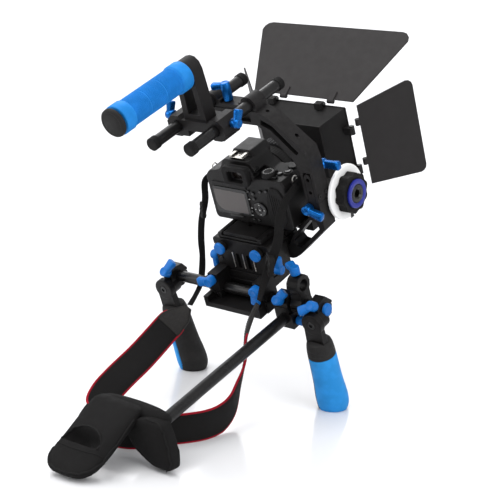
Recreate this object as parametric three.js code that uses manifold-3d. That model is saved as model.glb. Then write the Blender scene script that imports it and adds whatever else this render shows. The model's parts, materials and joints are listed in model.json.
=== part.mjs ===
// Shoulder-mount cinema camera rig on 15 mm rods: dimensions in millimetres, +Z up.
// Rig frame: X across (follow-focus side positive), Y along the lens, Z up from the
// transverse rod axis.  The whole rig rests nose-up on its two handles and shoulder pad.
import * as THREE from 'three';
import Module from 'manifold-3d';
import { mergeVertices } from 'three/addons/utils/BufferGeometryUtils.js';
const wasm = await Module(); wasm.setup();

// ---- driving dimensions ----
const PITCH = 20;            // nose-up rest angle, degrees
const FLOOR = 140;           // floor below the transverse rod axis
const ROD = 7.5, BORE = 7.8, TUBE = 5.6;   // 15 mm rods, clamp bores, tube bore
const PITCH_X = 30;          // half of the 60 mm rail pitch
const RAIL_Z = 57, RAIL_Y0 = 6, RAIL_Y1 = 240;
const TOP_Z = 244.6, TOP_Y0 = -58, TOP_Y1 = 124;
const LENS_Z = 123;
const HX = 125;              // handle pivot offset
const LEAN = 4;              // left grip leans inwards, degrees
const ARM_Y0 = 56, ARM_Y1 = 80;
const FF_Y = 106, FF_Z = 108;
const MB_Y = 190, MB_W = 72, MB_Z0 = 66, MB_Z1 = 180;
const ORIGIN = [0, 0, 0];    // filled in at the end

const MAT = {
  black: ['black_metal', 0x1c1b1b, 0.45, 0.6], plastic: ['black_plastic', 0x1f1f20, 0.6, 0],
  blue: ['blue_plastic', 0x1a73d1, 0.4, 0], anod: ['blue_anodised', 0x1f5fb0, 0.3, 0.8],
  rubberblue: ['blue_rubber', 0x2a8dd4, 0.8, 0], grey: ['grey_rubber', 0x3b3a39, 0.85, 0],
  white: ['white_plastic', 0xf2f2f0, 0.5, 0], flag: ['flag_plastic', 0x353334, 0.7, 0],
  nylon: ['black_nylon', 0x242424, 0.95, 0], purple: ['ring_blue', 0x3a3ab0, 0.35, 0.6],
  brass: ['drive_gear', 0x2b2b2c, 0.5, 0], web: ['webbing', 0x2a2827, 0.95, 0]
};

// ---- helpers ----
function toM(g0) {
  let g = g0.index ? g0 : g0; g = g.clone();
  g.deleteAttribute('normal'); g.deleteAttribute('uv');
  g = mergeVertices(g, 1e-4);
  return new wasm.Manifold(new wasm.Mesh({ numProp: 3,
    vertProperties: new Float32Array(g.attributes.position.array), triVerts: new Uint32Array(g.index.array) }));
}
function toG(m) {
  const q = m.getMesh(); const g = new THREE.BufferGeometry();
  g.setAttribute('position', new THREE.BufferAttribute(new Float32Array(q.vertProperties), 3));
  g.setIndex(new THREE.BufferAttribute(new Uint32Array(q.triVerts), 1)); g.computeVertexNormals(); return g;
}
const box = (x0, x1, y0, y1, z0, z1) => toM(new THREE.BoxGeometry(x1 - x0, y1 - y0, z1 - z0).translate((x0 + x1) / 2, (y0 + y1) / 2, (z0 + z1) / 2));
// prism: polygon in the plane across `ax`; pts are (y,z) for x, (x,z) for y, (x,y) for z
function prism(ax, pts, a0, a1, holes = []) {
  const s = new THREE.Shape(pts.map(p => new THREE.Vector2(p[0], p[1])));
  for (const h of holes) s.holes.push(new THREE.Path(h.map(p => new THREE.Vector2(p[0], p[1]))));
  const g = new THREE.ExtrudeGeometry(s, { depth: a1 - a0, bevelEnabled: false, steps: 1, curveSegments: 8 });
  const m = new THREE.Matrix4();
  if (ax === 'x') { m.set(0, 0, 1, a0, 1, 0, 0, 0, 0, 1, 0, 0, 0, 0, 0, 1); }
  else if (ax === 'y') { m.set(1, 0, 0, 0, 0, 0, -1, a1, 0, 1, 0, 0, 0, 0, 0, 1); }
  else { m.set(1, 0, 0, 0, 0, 1, 0, 0, 0, 0, 1, a0, 0, 0, 0, 1); }
  g.applyMatrix4(m); return toM(g);
}
// cyl: about ax through (p,q) (the other two coordinates in x,y,z order)
function cyl(ax, p, q, r, a0, a1, n = 24, r2 = r) {
  const g = new THREE.CylinderGeometry(r2, r, a1 - a0, n); // +y up: r2 at top
  if (ax === 'x') { g.rotateZ(-Math.PI / 2); g.translate((a0 + a1) / 2, p, q); }
  else if (ax === 'y') { g.translate(p, (a0 + a1) / 2, q); }
  else { g.rotateX(Math.PI / 2); g.translate(p, q, (a0 + a1) / 2); }
  return toM(g);
}
const U = (...a) => a.reduce((m, b) => m.add(b));
const S = (a, ...b) => b.reduce((m, c) => m.subtract(c), a);
const circle = (cx, cy, r, n = 20, a0 = 0) => Array.from({ length: n }, (_, i) => [cx + r * Math.cos(a0 + i * 2 * Math.PI / n), cy + r * Math.sin(a0 + i * 2 * Math.PI / n)]);
const rrect = (x0, x1, y0, y1, r, k = 3) => { const o = []; for (const [cx, cy, a] of [[x1 - r, y0 + r, -90], [x1 - r, y1 - r, 0], [x0 + r, y1 - r, 90], [x0 + r, y0 + r, 180]]) for (let i = 0; i <= k; i++) { const t = (a + 90 * i / k) * Math.PI / 180; o.push([cx + r * Math.cos(t), cy + r * Math.sin(t)]); } return o; };

const group = new THREE.Group(); group.name = 'cinema_camera_rig';
const rig = new THREE.Group(); rig.name = 'rig_frame'; group.add(rig);
function add(name, m, mat) {
  const [n, c, r, k] = MAT[mat];
  const mesh = new THREE.Mesh(toG(m), new THREE.MeshStandardMaterial({ name: n, color: c, roughness: r, metalness: k }));
  mesh.name = name; rig.add(mesh); return mesh;
}
// tube rod along an axis with one closed end
const tubeX = (x0, x1, y, z) => S(cyl('x', y, z, ROD, x0, x1, 20), cyl('x', y, z, TUBE, x0 + 3, x1 + 1, 16));
const tubeY = (x, z, y0, y1) => S(cyl('y', x, z, ROD, y0, y1, 20), cyl('y', x, z, TUBE, y0 - 1, y1 - 3, 16));
// thumb screw: shank, hub and one-sided paddle; local axis +Z from the seat at z=0
function wing(len = 9, hub = 6.5, pad = 18, w = 5, rise = 0) {
  const shank = toM(new THREE.CylinderGeometry(2.5, 2.5, len + 2, 10).rotateX(Math.PI / 2).translate(0, 0, -len / 2 + 1));
  const h = toM(new THREE.CylinderGeometry(hub - 0.6, hub, 12 + rise, 14).rotateX(Math.PI / 2).translate(0, 0, 6.4 + rise / 2));
  const s = new THREE.Shape([[0, -w * 0.7], [pad - 3, -w], [pad, -w + 2.2], [pad, w - 2.2], [pad - 3, w], [0, w * 0.7]].map(p => new THREE.Vector2(...p)));
  const p = toM(new THREE.ExtrudeGeometry(s, { depth: 7.5, bevelEnabled: false }).translate(0, 0, 4 + rise));
  return U(shank, h, p);
}
// place a local +Z object: dir = unit axis, roll about it, at seat point
function place(m, seat, dir, roll) {
  const q = new THREE.Quaternion().setFromUnitVectors(new THREE.Vector3(0, 0, 1), new THREE.Vector3(...dir).normalize());
  const r = new THREE.Quaternion().setFromAxisAngle(new THREE.Vector3(0, 0, 1), roll * Math.PI / 180);
  const M = new THREE.Matrix4().compose(new THREE.Vector3(...seat), q.multiply(r), new THREE.Vector3(1, 1, 1));
  return m.transform(Array.from(M.elements));
}
const hole = (seat, dir, depth, r = 3) => place(toM(new THREE.CylinderGeometry(r, r, depth + 2, 12).rotateX(Math.PI / 2).translate(0, 0, -depth / 2 + 1)), seat, dir, 0);

// ================= lower frame =================
add('transverse_rod', U(tubeX(-131, 131, 0, 0), cyl('x', 0, 0, 8.3, -135, -130.9, 20)), 'black');
add('rod_cap_right', U(cyl('x', 0, 0, 8.3, 131.3, 136, 20, 7.2), cyl('x', 0, 0, 5.2, 124, 131.5, 14)), 'blue');
for (const [n, sx] of [['left', -1], ['right', 1]]) {
  add('rail_' + n, U(tubeY(sx * PITCH_X, RAIL_Z, RAIL_Y0, RAIL_Y1)), 'black');
  add('rail_cap_' + n, U(cyl('y', sx * PITCH_X, RAIL_Z, 8.2, RAIL_Y0 - 5, RAIL_Y0 - 0.3, 20), cyl('y', sx * PITCH_X, RAIL_Z, 5.2, RAIL_Y0 - 0.5, RAIL_Y0 + 8, 14)), 'blue');
}
const railBores = (y0, y1) => [cyl('y', -PITCH_X, RAIL_Z, BORE, y0 - 1, y1 + 1, 24), cyl('y', PITCH_X, RAIL_Z, BORE, y0 - 1, y1 + 1, 24)];
const rodBore = (x0, x1) => cyl('x', 0, 0, BORE, x0 - 1, x1 + 1, 24);
// cross clamp: deck, cheeks round the transverse rod and the ledge plate below it
let cc = U(box(-46, 46, 10, 50, 9, 21.7), box(-46, -30, -14, 11.7, -17, 27), box(30, 46, -14, 11.7, -17, 27), box(-31, 31, 9, 13, -10, 9.5),
  box(-50, -43, -28, -13, -17, -1.2), box(37, 44, -28, -13, -17, -1.2),
  prism('x', [[-28, -17], [20, -17], [24, -13], [24, -9.5], [-28, -9.5]], -50, 44), box(-50, -40, -14, 14, -17, 21.7));
cc = S(cc, rodBore(-50, 46), hole([-38, -14, 20], [0, -1, 0], 18), hole([38, -14, 20], [0, -1, 0], 18),
  box(-52, 47, -16, 0, -0.8, 0.8));
add('cross_clamp', cc, 'black');
add('cross_screw_left', place(wing(12, 7, 19, 5.5), [-38, -14.3, 20], [0, -1, 0], 190), 'blue');
add('cross_screw_right', place(wing(12, 7, 19, 5.5), [38, -14.3, 20], [0, -1, 0], 265), 'blue');
// riser: rail block with clamping slits
let rz = U(prism('y', rrect(-46, 46, 22, 68, 3, 2), 12.2, 50));
rz = S(rz, ...railBores(12, 50), box(36, 47, 12, 51, 56.2, 57.8), box(-47, -36, 12, 51, 56.2, 57.8),
  ...[-17, 0, 17].map(x => box(x - 0.9, x + 0.9, 12, 24, 24, 50)), ...[-8.5, 8.5].map(x => box(x - 3, x + 3, 12, 16, 26, 48)),
  hole([-46, 17, 36], [-1, 0, 0], 14), hole([46, 17, 33], [1, 0, 0], 14), box(-20, 20, 20, 46, 21, 30));
add('riser_block', rz, 'black');
add('riser_screw_left', place(wing(10), [-46.3, 17, 36], [-1, 0, 0], 180), 'blue');
add('riser_screw_right', place(wing(10), [46.3, 17, 33], [1, 0, 0], 180), 'blue');
// quick release base and plate
let qb = U(box(-36, 36, 14, 90, 68.3, 71.4), box(-36, -29.5, 14, 90, 71, 75.6), box(29.5, 36, 14, 90, 71, 75.6));
qb = S(qb, box(-12, 12, 50, 90, 68, 72), hole([36, 30, 73.3], [1, 0, 0], 8, 1.6));
add('quick_release_base', qb, 'black');
let qp = S(U(prism('y', [[-29, 71.8], [29, 71.8], [29, 74.6], [25, 77], [-25, 77], [-29, 74.6]], 16, 88)), box(-3, 3, 24, 84, 71, 74), cyl('z', 0, 40, 3.4, 71, 78, 12), cyl('z', 0, 70, 3.4, 71, 78, 12));
add('camera_plate', qp, 'black');

// ================= C-shaped support arm =================
const armOut = [[42, 238], [60, 231], [73, 219], [106, 190], [109.5, 170], [109.5, 118]];
let up = prism('y', [[-40, 238], ...armOut, [90, 118], [90, 158], [84, 176], [50, 212], [38, 219], [-40, 219]], ARM_Y0, ARM_Y1);
up = S(up, prism('y', [[44, 221], [58, 215], [86, 188], [91, 184], [95, 188], [91, 192], [62, 221], [46, 228]], ARM_Y0 - 1, ARM_Y0 + 7),
  prism('y', [[44, 221], [58, 215], [86, 188], [91, 184], [95, 188], [91, 192], [62, 221], [46, 228]], ARM_Y1 - 7, ARM_Y1 + 1),
  box(-16, 30, ARM_Y0 - 1, ARM_Y0 + 6, 223, 234), cyl('z', 50, 68, 2.6, 226, 242, 12), cyl('y', 102, 157, 3, ARM_Y1 - 12, ARM_Y1 + 1, 12),
  box(94, 105.5, ARM_Y0 - 1, ARM_Y0 + 10, 117, 160), cyl('x', 68, 205, 2.6, 60, 120, 12));
let lo = U(prism('y', [[-40, 25], [45, 25], [51, 27], [60, 33], [66, 38.8], [109.5, 78.8], [109.5, 117.4], [90, 117.4], [90, 96], [55, 62], [44, 45.2], [-40, 45.2]], ARM_Y0, ARM_Y1),
  prism('y', [[94.4, 117], [105.1, 117], [105.1, 152], [103.5, 156.5], [99.7, 158.5], [96, 156.5], [94.4, 152]], ARM_Y0, ARM_Y0 + 9.6));
lo = S(lo, prism('y', [[53, 52], [57, 46.5], [64, 45], [70, 50], [101, 79], [99, 88], [90, 91], [57, 58]], ARM_Y0 - 1, ARM_Y1 + 1), cyl('y', 99.7, 150, 2.6, 50, 70, 12), cyl('y', 99.7, 132, 2.6, 50, 70, 12),
  hole([95, ARM_Y0, 111], [0, -1, 0], 14));
// rail saddle of the arm
lo = U(lo, box(-42, 42, ARM_Y0, ARM_Y1, 44, 67));
lo = S(lo, ...railBores(ARM_Y0, ARM_Y1), box(-15, 15, ARM_Y0 - 1, ARM_Y1 + 1, 49, 68), box(36, 43, ARM_Y0 - 1, ARM_Y1 + 1, 56.2, 57.8), box(-43, -36, ARM_Y0 - 1, ARM_Y1 + 1, 56.2, 57.8));
add('c_arm_lower', lo, 'black');
add('arm_lever_lower', place(wing(10, 6.5, 24, 5.2), [95, ARM_Y0 - 0.3, 111], [0, -1, 0], -18), 'anod');
add('arm_lever_upper', place(wing(9, 6.5, 26, 5.2), [102, ARM_Y1 + 0.3, 157], [0, 1, 0], 0), 'anod');
// top rod clamp on the arm
let tc = U(box(-42, 42, ARM_Y0 + 1, ARM_Y1 - 1, 236.3, 248), ...[-1, 1].map(s => cyl('y', s * PITCH_X, TOP_Z, 12, ARM_Y0 + 1, ARM_Y1 - 1, 20)));
tc = tc.intersect(box(-43, 43, ARM_Y0, ARM_Y1, 236.3, 260));
tc = S(tc, cyl('y', -PITCH_X, TOP_Z, BORE, 50, 90, 24), cyl('y', PITCH_X, TOP_Z, BORE, 50, 90, 24), box(-15, 15, 50, 90, 244, 251), hole([-8, 66, 244], [0, 0, 1], 6));
add('c_arm_upper', U(S(up, cyl('y', -PITCH_X, TOP_Z, BORE, 50, 90, 24), cyl('y', PITCH_X, TOP_Z, BORE, 50, 90, 24), box(-9, -7, 65, 67, 300, 301)), tc), 'black');
add('top_clamp_lever', place(wing(5.5, 6.2, 18, 5, 13), [-8, 66, 244.3], [0, 0, 1], 200), 'anod');
for (const [n, sx] of [['left', -1], ['right', 1]])
  add('top_rod_' + n, U(S(cyl('y', sx * PITCH_X, TOP_Z, ROD, TOP_Y0 + 1, TOP_Y1 - 1, 20), cyl('y', sx * PITCH_X, TOP_Z, TUBE, TOP_Y0 + 5, TOP_Y1 + 1, 14)),
    cyl('y', sx * PITCH_X, TOP_Z, 8.6, TOP_Y0 - 2, TOP_Y0 + 8, 20), S(cyl('y', sx * PITCH_X, TOP_Z, 8.6, TOP_Y1 - 10, TOP_Y1, 20), cyl('y', sx * PITCH_X, TOP_Z, TUBE, TOP_Y1 - 11, TOP_Y1 + 1, 14))), 'black');

// ================= top handle =================
const HB0 = -10, HB1 = 22, GR = -13, GZ0 = 316;
let hb = U(box(-42, 42, HB0, HB1, 232, 254), ...[-1, 1].map(s => prism('y', circle(s * 32, TOP_Z, 15, 8, Math.PI / 8), HB0, HB1)));
hb = S(hb, cyl('y', -PITCH_X, TOP_Z, BORE, -20, 40, 24), cyl('y', PITCH_X, TOP_Z, BORE, -20, 40, 24), box(-14, 14, HB0 - 1, HB1 + 1, 231, 240),
  hole([-45.8, 6, 250], [-1, 0, 0], 7), hole([45.8, 6, 250], [1, 0, 0], 7));
let ha = prism('y', [[-18, 253], [18, 253], [15, 318], [12.5, 326], [7, 331.5], [0, 333], [-7, 331.5], [-12.5, 326], [-15, 318]], -7, 12, [[[-9, 262], [-7.5, 301], [7.5, 301], [9, 262]]]);
hb = U(hb, ha, cyl('y', 0, GZ0, 8, -118 + GR, -6, 16));
add('handle_bridge', hb, 'black');
const gripProf0 = [[8.3, -117.5], [18, -117.5], [18.6, -116], [18.6, -101.5], [17.2, -100], [17.2, -73], [16.4, -72.2], [17.2, -71.4], [17.2, -46], [16.4, -45.2], [17.2, -44.4], [17.2, -15], [18.6, -13.5], [18.6, 1], [18, 2.5], [8.3, 2.5]];
const gripProf = gripProf0.map(p => [p[0], p[1] + GR + 2]);
function latheY(prof, cx, cz, n) { // prof: [radius, y], closed ring profile
  const pts = prof.map(p => new THREE.Vector2(p[0], p[1])); if (prof[0][0] > 0.001) pts.push(pts[0].clone());
  const g = new THREE.LatheGeometry(pts, n); g.translate(cx, 0, cz); const m = toM(g);
  return m.volume() < 0 ? toM(flip(g)) : m;
}
function flip(g) { const i = g.index.array; for (let k = 0; k < i.length; k += 3) { const t = i[k]; i[k] = i[k + 1]; i[k + 1] = t; } return g; }
add('top_grip', latheY(gripProf, 0, GZ0, 28), 'rubberblue');
add('top_grip_cap', latheY([[0, -123.5], [14.5, -123.5], [17.2, -122], [17.8, -118.3], [0, -118.3]].map(p => [p[0], p[1] + GR]), 0, GZ0, 24), 'black');
add('bridge_lever_left', place(wing(5.5, 6.2, 17, 5), [-46.4, 6, 250], [-1, 0, 0], 25), 'anod');
add('bridge_lever_right', place(wing(5.5, 6.2, 17, 5), [46.4, 6, 250], [1, 0, 0], 150), 'anod');

// ================= camera =================
let cb = prism('y', [[-55, 79], [68, 79], [71, 82], [71, 143], [67, 150], [38, 153], [30, 158], [24, 169], [19, 172], [-19, 172], [-24, 168], [-30, 157], [-36, 153], [-52, 150], [-58, 143], [-58, 83]], 42, 84);
cb = U(cb, prism('z', [[36, 80], [71, 80], [71, 88], [66, 93], [48, 93], [40, 88]], 79, 150), prism('y', [[-16, 158], [16, 158], [20, 170], [14, 179], [-14, 179], [-20, 170]], 58, 92),
  cyl('y', 0, LENS_Z, 33, 80, 87.5, 32));
cb = U(cb, S(prism('y', rrect(-14, 22, 144, 165, 4, 2), 37, 43), box(-7, 15, 36, 40, 148, 161)), box(-50, 6, 40.6, 43, 91, 128));
cb = S(cb, box(-47, 3, 40, 41.6, 94, 125), box(24, 66, 41, 63, 149.8, 158), cyl('z', 62, 66, 4.4, 147, 160, 16), cyl('z', 0, 40, 2.6, 78, 86, 12), cyl('z', 42, 52, 2.8, 144, 152, 12));
cb = U(cb, box(-11, 11, 47, 57, 171.9, 174), box(-11, -8, 47, 57, 173.9, 175.4), box(8, 11, 47, 57, 173.9, 175.4));
cb = U(cb, box(-61.5, -57.9, 58, 68, 139, 143), box(70.9, 74.5, 58, 68, 139, 143));
cb = S(cb, box(-60.4, -58.6, 60, 66, 138, 144), box(71.6, 73.4, 60, 66, 138, 144));
add('camera_body', cb, 'plastic');
add('eyecup', S(prism('y', rrect(-17, 25, 142, 168, 6, 3), 29, 36.7), prism('y', rrect(-8, 16, 147, 162, 3, 2), 28, 37)), 'grey');
add('mode_dial', U(cyl('z', 42, 52, 9.5, 150.1, 157, 24, 9), cyl('z', 42, 52, 2.4, 145, 150.2, 10)), 'plastic');
add('shutter_button', U(cyl('z', 62, 66, 4, 148.5, 153.2, 16, 3.6)), 'plastic');
add('lens_barrel', U(latheY([[0, 88], [33, 88], [33, 98], [31.5, 99], [31.5, 115.5], [28.5, 115.5], [28.5, 132.5], [32, 132.5], [33.5, 136], [33.5, 150], [30, 150], [24, 143], [0, 141]], 0, LENS_Z, 32)), 'plastic');
const NT = 40, gearRing = []; for (let i = 0; i < NT; i++) { const a = i * 2 * Math.PI / NT; for (const [r, d] of [[34.4, -0.045], [36.2, -0.02], [36.2, 0.02], [34.4, 0.045]]) gearRing.push([r * Math.cos(a + d), LENS_Z + r * Math.sin(a + d)]); }
add('focus_ring', prism('y', gearRing, 116, 132, [circle(0, LENS_Z, 29, 32)]), 'plastic');

// ================= follow focus =================
const GX = 47, GZ = 101.6, GN = 16, gp = []; const gearOff = Math.atan2(GZ - LENS_Z, GX) + Math.PI + Math.PI / GN;
for (let i = 0; i < GN; i++) { const a = gearOff + i * 2 * Math.PI / GN; for (const [r, d] of [[12.7, -0.11], [14.3, -0.045], [14.3, 0.045], [12.7, 0.11]]) gp.push([GX + r * Math.cos(a + d), GZ + r * Math.sin(a + d)]); }
let fg = U(box(38, 106, 95.2, 114.6, 94, 119), box(20, 56, 95.2, 114.6, 45, 95));
fg = S(fg, cyl('y', PITCH_X, RAIL_Z, BORE, 90, 120, 24), box(19, 31, 94, 118, 56.2, 57.8), cyl('x', FF_Y, FF_Z, 5.4, 90, 107, 16), cyl('y', GX, GZ, 3.4, 108, 118, 14), hole([56, FF_Y, 72], [1, 0, 0], 12),
  box(60, 92, 94, 98, 99, 114));
add('focus_gearbox', fg, 'black');
const lob = []; for (let i = 0; i < 60; i++) { const a = i * Math.PI / 30; const r = 25.6 + 1.4 * Math.cos(10 * a); lob.push([FF_Y + r * Math.cos(a), FF_Z + r * Math.sin(a)]); }
add('focus_knob', S(U(prism('x', lob, 116.6, 129.5), cyl('x', FF_Y, FF_Z, 5, 92, 117, 16)), box(122, 131, FF_Y - 5, FF_Y + 5, FF_Z - 5, FF_Z + 5), S(cyl('x', FF_Y, FF_Z, 19, 128.6, 133, 28), cyl('x', FF_Y, FF_Z, 9, 127, 134, 20))), 'black');
add('marking_disc', S(cyl('x', FF_Y, FF_Z, 36, 112, 116.3, 40, 34.5), cyl('x', FF_Y, FF_Z, 5.3, 110, 118, 16)), 'white');
add('drive_gear', U(prism('y', gp, 117, 127), cyl('y', GX, GZ, 3, 109, 117.2, 14)), 'brass');
add('focus_clamp_screw', place(wing(8), [56.3, FF_Y, 72], [1, 0, 0], 30), 'blue');

// ================= matte box =================
const rect = (w, z0, z1) => [[-w, z0], [w, z0], [w, z1], [-w, z1]];
function loft(p0, y0, p1, y1) { // frustum between two rectangles across Y
  const g = new THREE.BufferGeometry(); const v = [];
  for (const p of p0) v.push(p[0], y0, p[1]); for (const p of p1) v.push(p[0], y1, p[1]);
  const t = [0, 1, 2, 0, 2, 3, 4, 6, 5, 4, 7, 6]; for (let i = 0; i < 4; i++) { const j = (i + 1) % 4; t.push(i, i + 4, j, j, i + 4, j + 4); }
  g.setAttribute('position', new THREE.BufferAttribute(new Float32Array(v), 3)); g.setIndex(t);
  let m = toM(g); if (m.volume() < 0) m = toM(flip(g)); return m;
}
let mh = U(loft(rect(50, 80, 166), 160, rect(MB_W, MB_Z0 + 2, MB_Z1), MB_Y), box(-50, 50, 156.5, 160.2, 80, 166));
mh = S(mh, loft(rect(47.6, 82.4, 163.6), 162.8, rect(MB_W - 2.2, MB_Z0 + 4.2, MB_Z1 - 2.2), MB_Y + 0.4), cyl('y', 0, LENS_Z, 38, 150, 168, 32));
mh = U(mh, box(-30, 30, 157, 164, 67, 84));
const clipX = [-44, 34];
for (const x of clipX) mh = U(mh, box(x - 5, x + 5, 180, 189.5, 177.5, 186));
for (const z of [92, 150]) for (const s of [-1, 1]) mh = U(mh, box(s > 0 ? 70 : -81, s > 0 ? 81 : -70, 180, 188.6, z - 5, z + 5));
mh = S(mh, ...clipX.map(x => cyl('x', 186.6, 182.6, 1.6, x - 6, x + 6, 10)));
add('matte_hood', mh, 'plastic');
add('matte_bracket', S(U(box(-42, 42, 165, 183, 46, 66.6), box(-12, 12, 164.3, 167, 66, 73)), cyl('y', -PITCH_X, RAIL_Z, BORE, 160, 190, 24), cyl('y', PITCH_X, RAIL_Z, BORE, 160, 190, 24), box(36, 43, 160, 190, 56.2, 57.8), box(-43, -36, 160, 190, 56.2, 57.8), hole([0, 174, 46], [0, 0, -1], 10), box(-16, 16, 160, 190, 59, 62)), 'black');
function flagM(pts, thick, clips) { // in local frame: u across (hinge line), v outward, w thickness
  const s = new THREE.Shape(pts.map(p => new THREE.Vector2(p[0], p[1])));
  let m = toM(new THREE.ExtrudeGeometry(s, { depth: thick, bevelEnabled: false }));
  for (const c of clips) m = U(m, toM(new THREE.BoxGeometry(9, 15, 4).translate(c, 7, 2)), toM(new THREE.CylinderGeometry(3.2, 3.2, 9, 12).rotateZ(Math.PI / 2).translate(c, 0, 1.6)));
  return m;
}
const corner = (w0, w1, L, r) => { const o = [[-w0, 3], [w0, 3], [w1, L - r]]; for (let i = 1; i <= 3; i++) { const t = i * Math.PI / 6; o.push([w1 - r + r * Math.cos(t), L - r + r * Math.sin(t)]); } for (let i = 0; i <= 3; i++) { const t = Math.PI / 2 + i * Math.PI / 6; o.push([-w1 + r + r * Math.cos(t), L - r + r * Math.sin(t)]); } return o; };
function flagAt(m, o, u, v) { const U3 = new THREE.Vector3(...u).normalize(), V3 = new THREE.Vector3(...v).normalize(), W3 = U3.clone().cross(V3); const M = new THREE.Matrix4().makeBasis(U3, V3, W3).setPosition(...o); return m.transform(Array.from(M.elements)); }
const TF = 29 * Math.PI / 180, SF = 32 * Math.PI / 180, SL = 46 * Math.PI / 180;
add('flag_top', flagAt(flagM(corner(82, 121, 116, 13), 2, [-30, 48]), [0, MB_Y + 3.6, 184], [1, 0, 0], [0, Math.cos(TF), Math.sin(TF)]), 'flag');
add('flag_right', flagAt(flagM(corner(58, 68, 84, 9), 2, [-23, 35]), [85, MB_Y + 3.6, LENS_Z], [0, 0, 1], [Math.sin(SF), Math.cos(SF), 0]), 'flag');
add('flag_left', flagAt(flagM(corner(58, 68, 84, 9), 2, [-35, 23]), [-85, MB_Y + 3.6, LENS_Z], [0, 0, -1], [-Math.sin(SL), Math.cos(SL), 0]), 'flag');

// ================= handles =================
const CA = Math.PI * PITCH / 180;
const floorCut = toM(new THREE.BoxGeometry(900, 900, 200).translate(0, 0, -100 - FLOOR).rotateX(-CA));
for (const [n, sx] of [['left', -1], ['right', 1]]) {
  const X = sx * HX;
  const xa = Math.min(sx * 115, sx * 130), xb = Math.max(sx * 115, sx * 130);
  let c = U(prism('x', circle(0, 0, 17, sx > 0 ? 6 : 8, 0.2), xa, xb), cyl('y', X, -9, 13, -16.6, -4, 20));
  c = S(c, rodBore(X - 12, X + 12), cyl('x', 0, 0, 8.8, Math.min(sx * 130, sx * 142), Math.max(sx * 130, sx * 142), 20), cyl('y', X, -9, 3.4, -18, -8.5, 12), box(X - 13, X + 13, 0, 18, -0.8, 0.8), hole([X + (sx > 0 ? 1 : 4), -12.6, 10.8], [0, -0.76, 0.65], 7));
  add('handle_clamp_' + n, c, 'black');
  add('clamp_screw_' + n, place(wing(5, 6.5, 19, 5.5), [X + (sx > 0 ? 1 : 4), -12.9, 11.1], [0, -0.76, 0.65], sx > 0 ? 213 : 59), 'blue');
  // handle: pivot head, neck collar and oval palm grip
  const yC = -19;
  const prof = [[0, -34], [15, -36], [17.5, -44], [18.2, -60], [19, -100], [21, -125], [20.5, -136], [17, -144], [9, -150], [0, -152]];
  let body = toM(new THREE.LatheGeometry(prof.slice().reverse().map(p => new THREE.Vector2(p[0], p[1])), 24).rotateX(Math.PI / 2));
  if (body.volume() < 0) body = body.mirror([0, 0, 1]).mirror([0, 0, 1]);
  body = body.translate([X, yC, 0]);
  const head = U(cyl('y', X, -9, 15, -27, -17, 20), prism('y', [[X - 13, -10], [X + 13, -10], [X + 14, -38], [X - 14, -38]], -27, -17));
  let h = S(U(head, body), cyl('y', X, -9, 5.4, -28, -22.5, 6), cyl('y', X, -9, 3.4, -23, -16, 12));
  const a = sx > 0 ? -40 : 183; // panel facing direction
  const core = k => body.translate([-X, -yC, 0]).scale([k, k, 1]).translate([X, yC, 0]);
  const half = d => toM(new THREE.BoxGeometry(60, 60, 78 + d * 2).translate(30, 0, -94)).rotate([0, 0, a]).translate([X + (4 - d) * Math.cos(a * Math.PI / 180), yC + (4 - d) * Math.sin(a * Math.PI / 180), 0]);
  const pnl = body.subtract(core(0.86)).intersect(half(0));
  const recess = toM(new THREE.CylinderGeometry(40, 40, 300, 12).rotateX(Math.PI / 2)).translate([X, yC, -100]).subtract(core(0.84)).intersect(half(0.3));
  h = h.subtract(recess);
  let pn = pnl;
  if (sx < 0) {
    const lean = m => m.translate([-X, 0, 9]).rotate([0, -LEAN, 0]).translate([X, 0, -9]);
    h = lean(h); pn = lean(pn);
  }
  h = h.subtract(floorCut);
  add('handle_' + n, h, 'grey');
  add('grip_panel_' + n, pn, 'rubberblue');
}

// ================= accessory clamp =================
let ac = U(prism('x', circle(0, 0, 14, 8, Math.PI / 8), 85, 102), prism('x', circle(2, 29, 14, 12), 85, 102), box(85, 102, -8, 12, 4, 26));
ac = S(ac, rodBore(85, 102), cyl('x', 2, 29, BORE, 84, 103, 24), box(84, 103, -16, 0, -0.8, 0.8), hole([93.5, 2, 43], [0, 0, 1], 7));
add('accessory_clamp', ac, 'black');
add('accessory_screw', place(wing(5.5, 6.5, 17, 5.5), [93.5, 2, 43.3], [0, 0, 1], 150), 'blue');

// ================= shoulder rod, clamp and pad =================
const SX = 71, SZ = -19, SR = 2.9 * Math.PI / 180; // rod rises slightly to the rear
let sc = U(prism('x', circle(0, 0, 14.5, 8, Math.PI / 8), 60, 80.5), box(58, 80.5, -14, 14, -14, -2), box(58, 84, -14, 14, -33, -10.5));
let srod = S(cyl('y', 0, 0, ROD, -272, 22, 20), cyl('y', 0, 0, TUBE, -273, 17, 14)).rotate([-2.9, 0, 0]).translate([SX, 0, SZ - 0.5]);
const sbore = cyl('y', 0, 0, BORE, -40, 40, 24).rotate([-2.9, 0, 0]).translate([SX, 0, SZ - 0.5]);
sc = S(sc, rodBore(58, 84), sbore, box(54, 86, 0, 18, -0.8, 0.8).intersect(box(54, 86, 8, 18, -2, 2)), hole([71, -12, 7.5], [0, -0.8, 0.6], 5), hole([84, -4, -24], [1, 0, 0], 5));
add('shoulder_clamp', sc, 'black');
add('shoulder_screw_upper', place(wing(3, 6.5, 15.5, 5.5), [71, -12.6, 8], [0, -0.8, 0.6], 55), 'blue');
add('shoulder_screw_lower', place(wing(3.5, 6.5, 19, 5.5), [84.4, -4, -24], [1, 0, 0], 60), 'blue');
add('shoulder_rod', srod, 'black');

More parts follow.
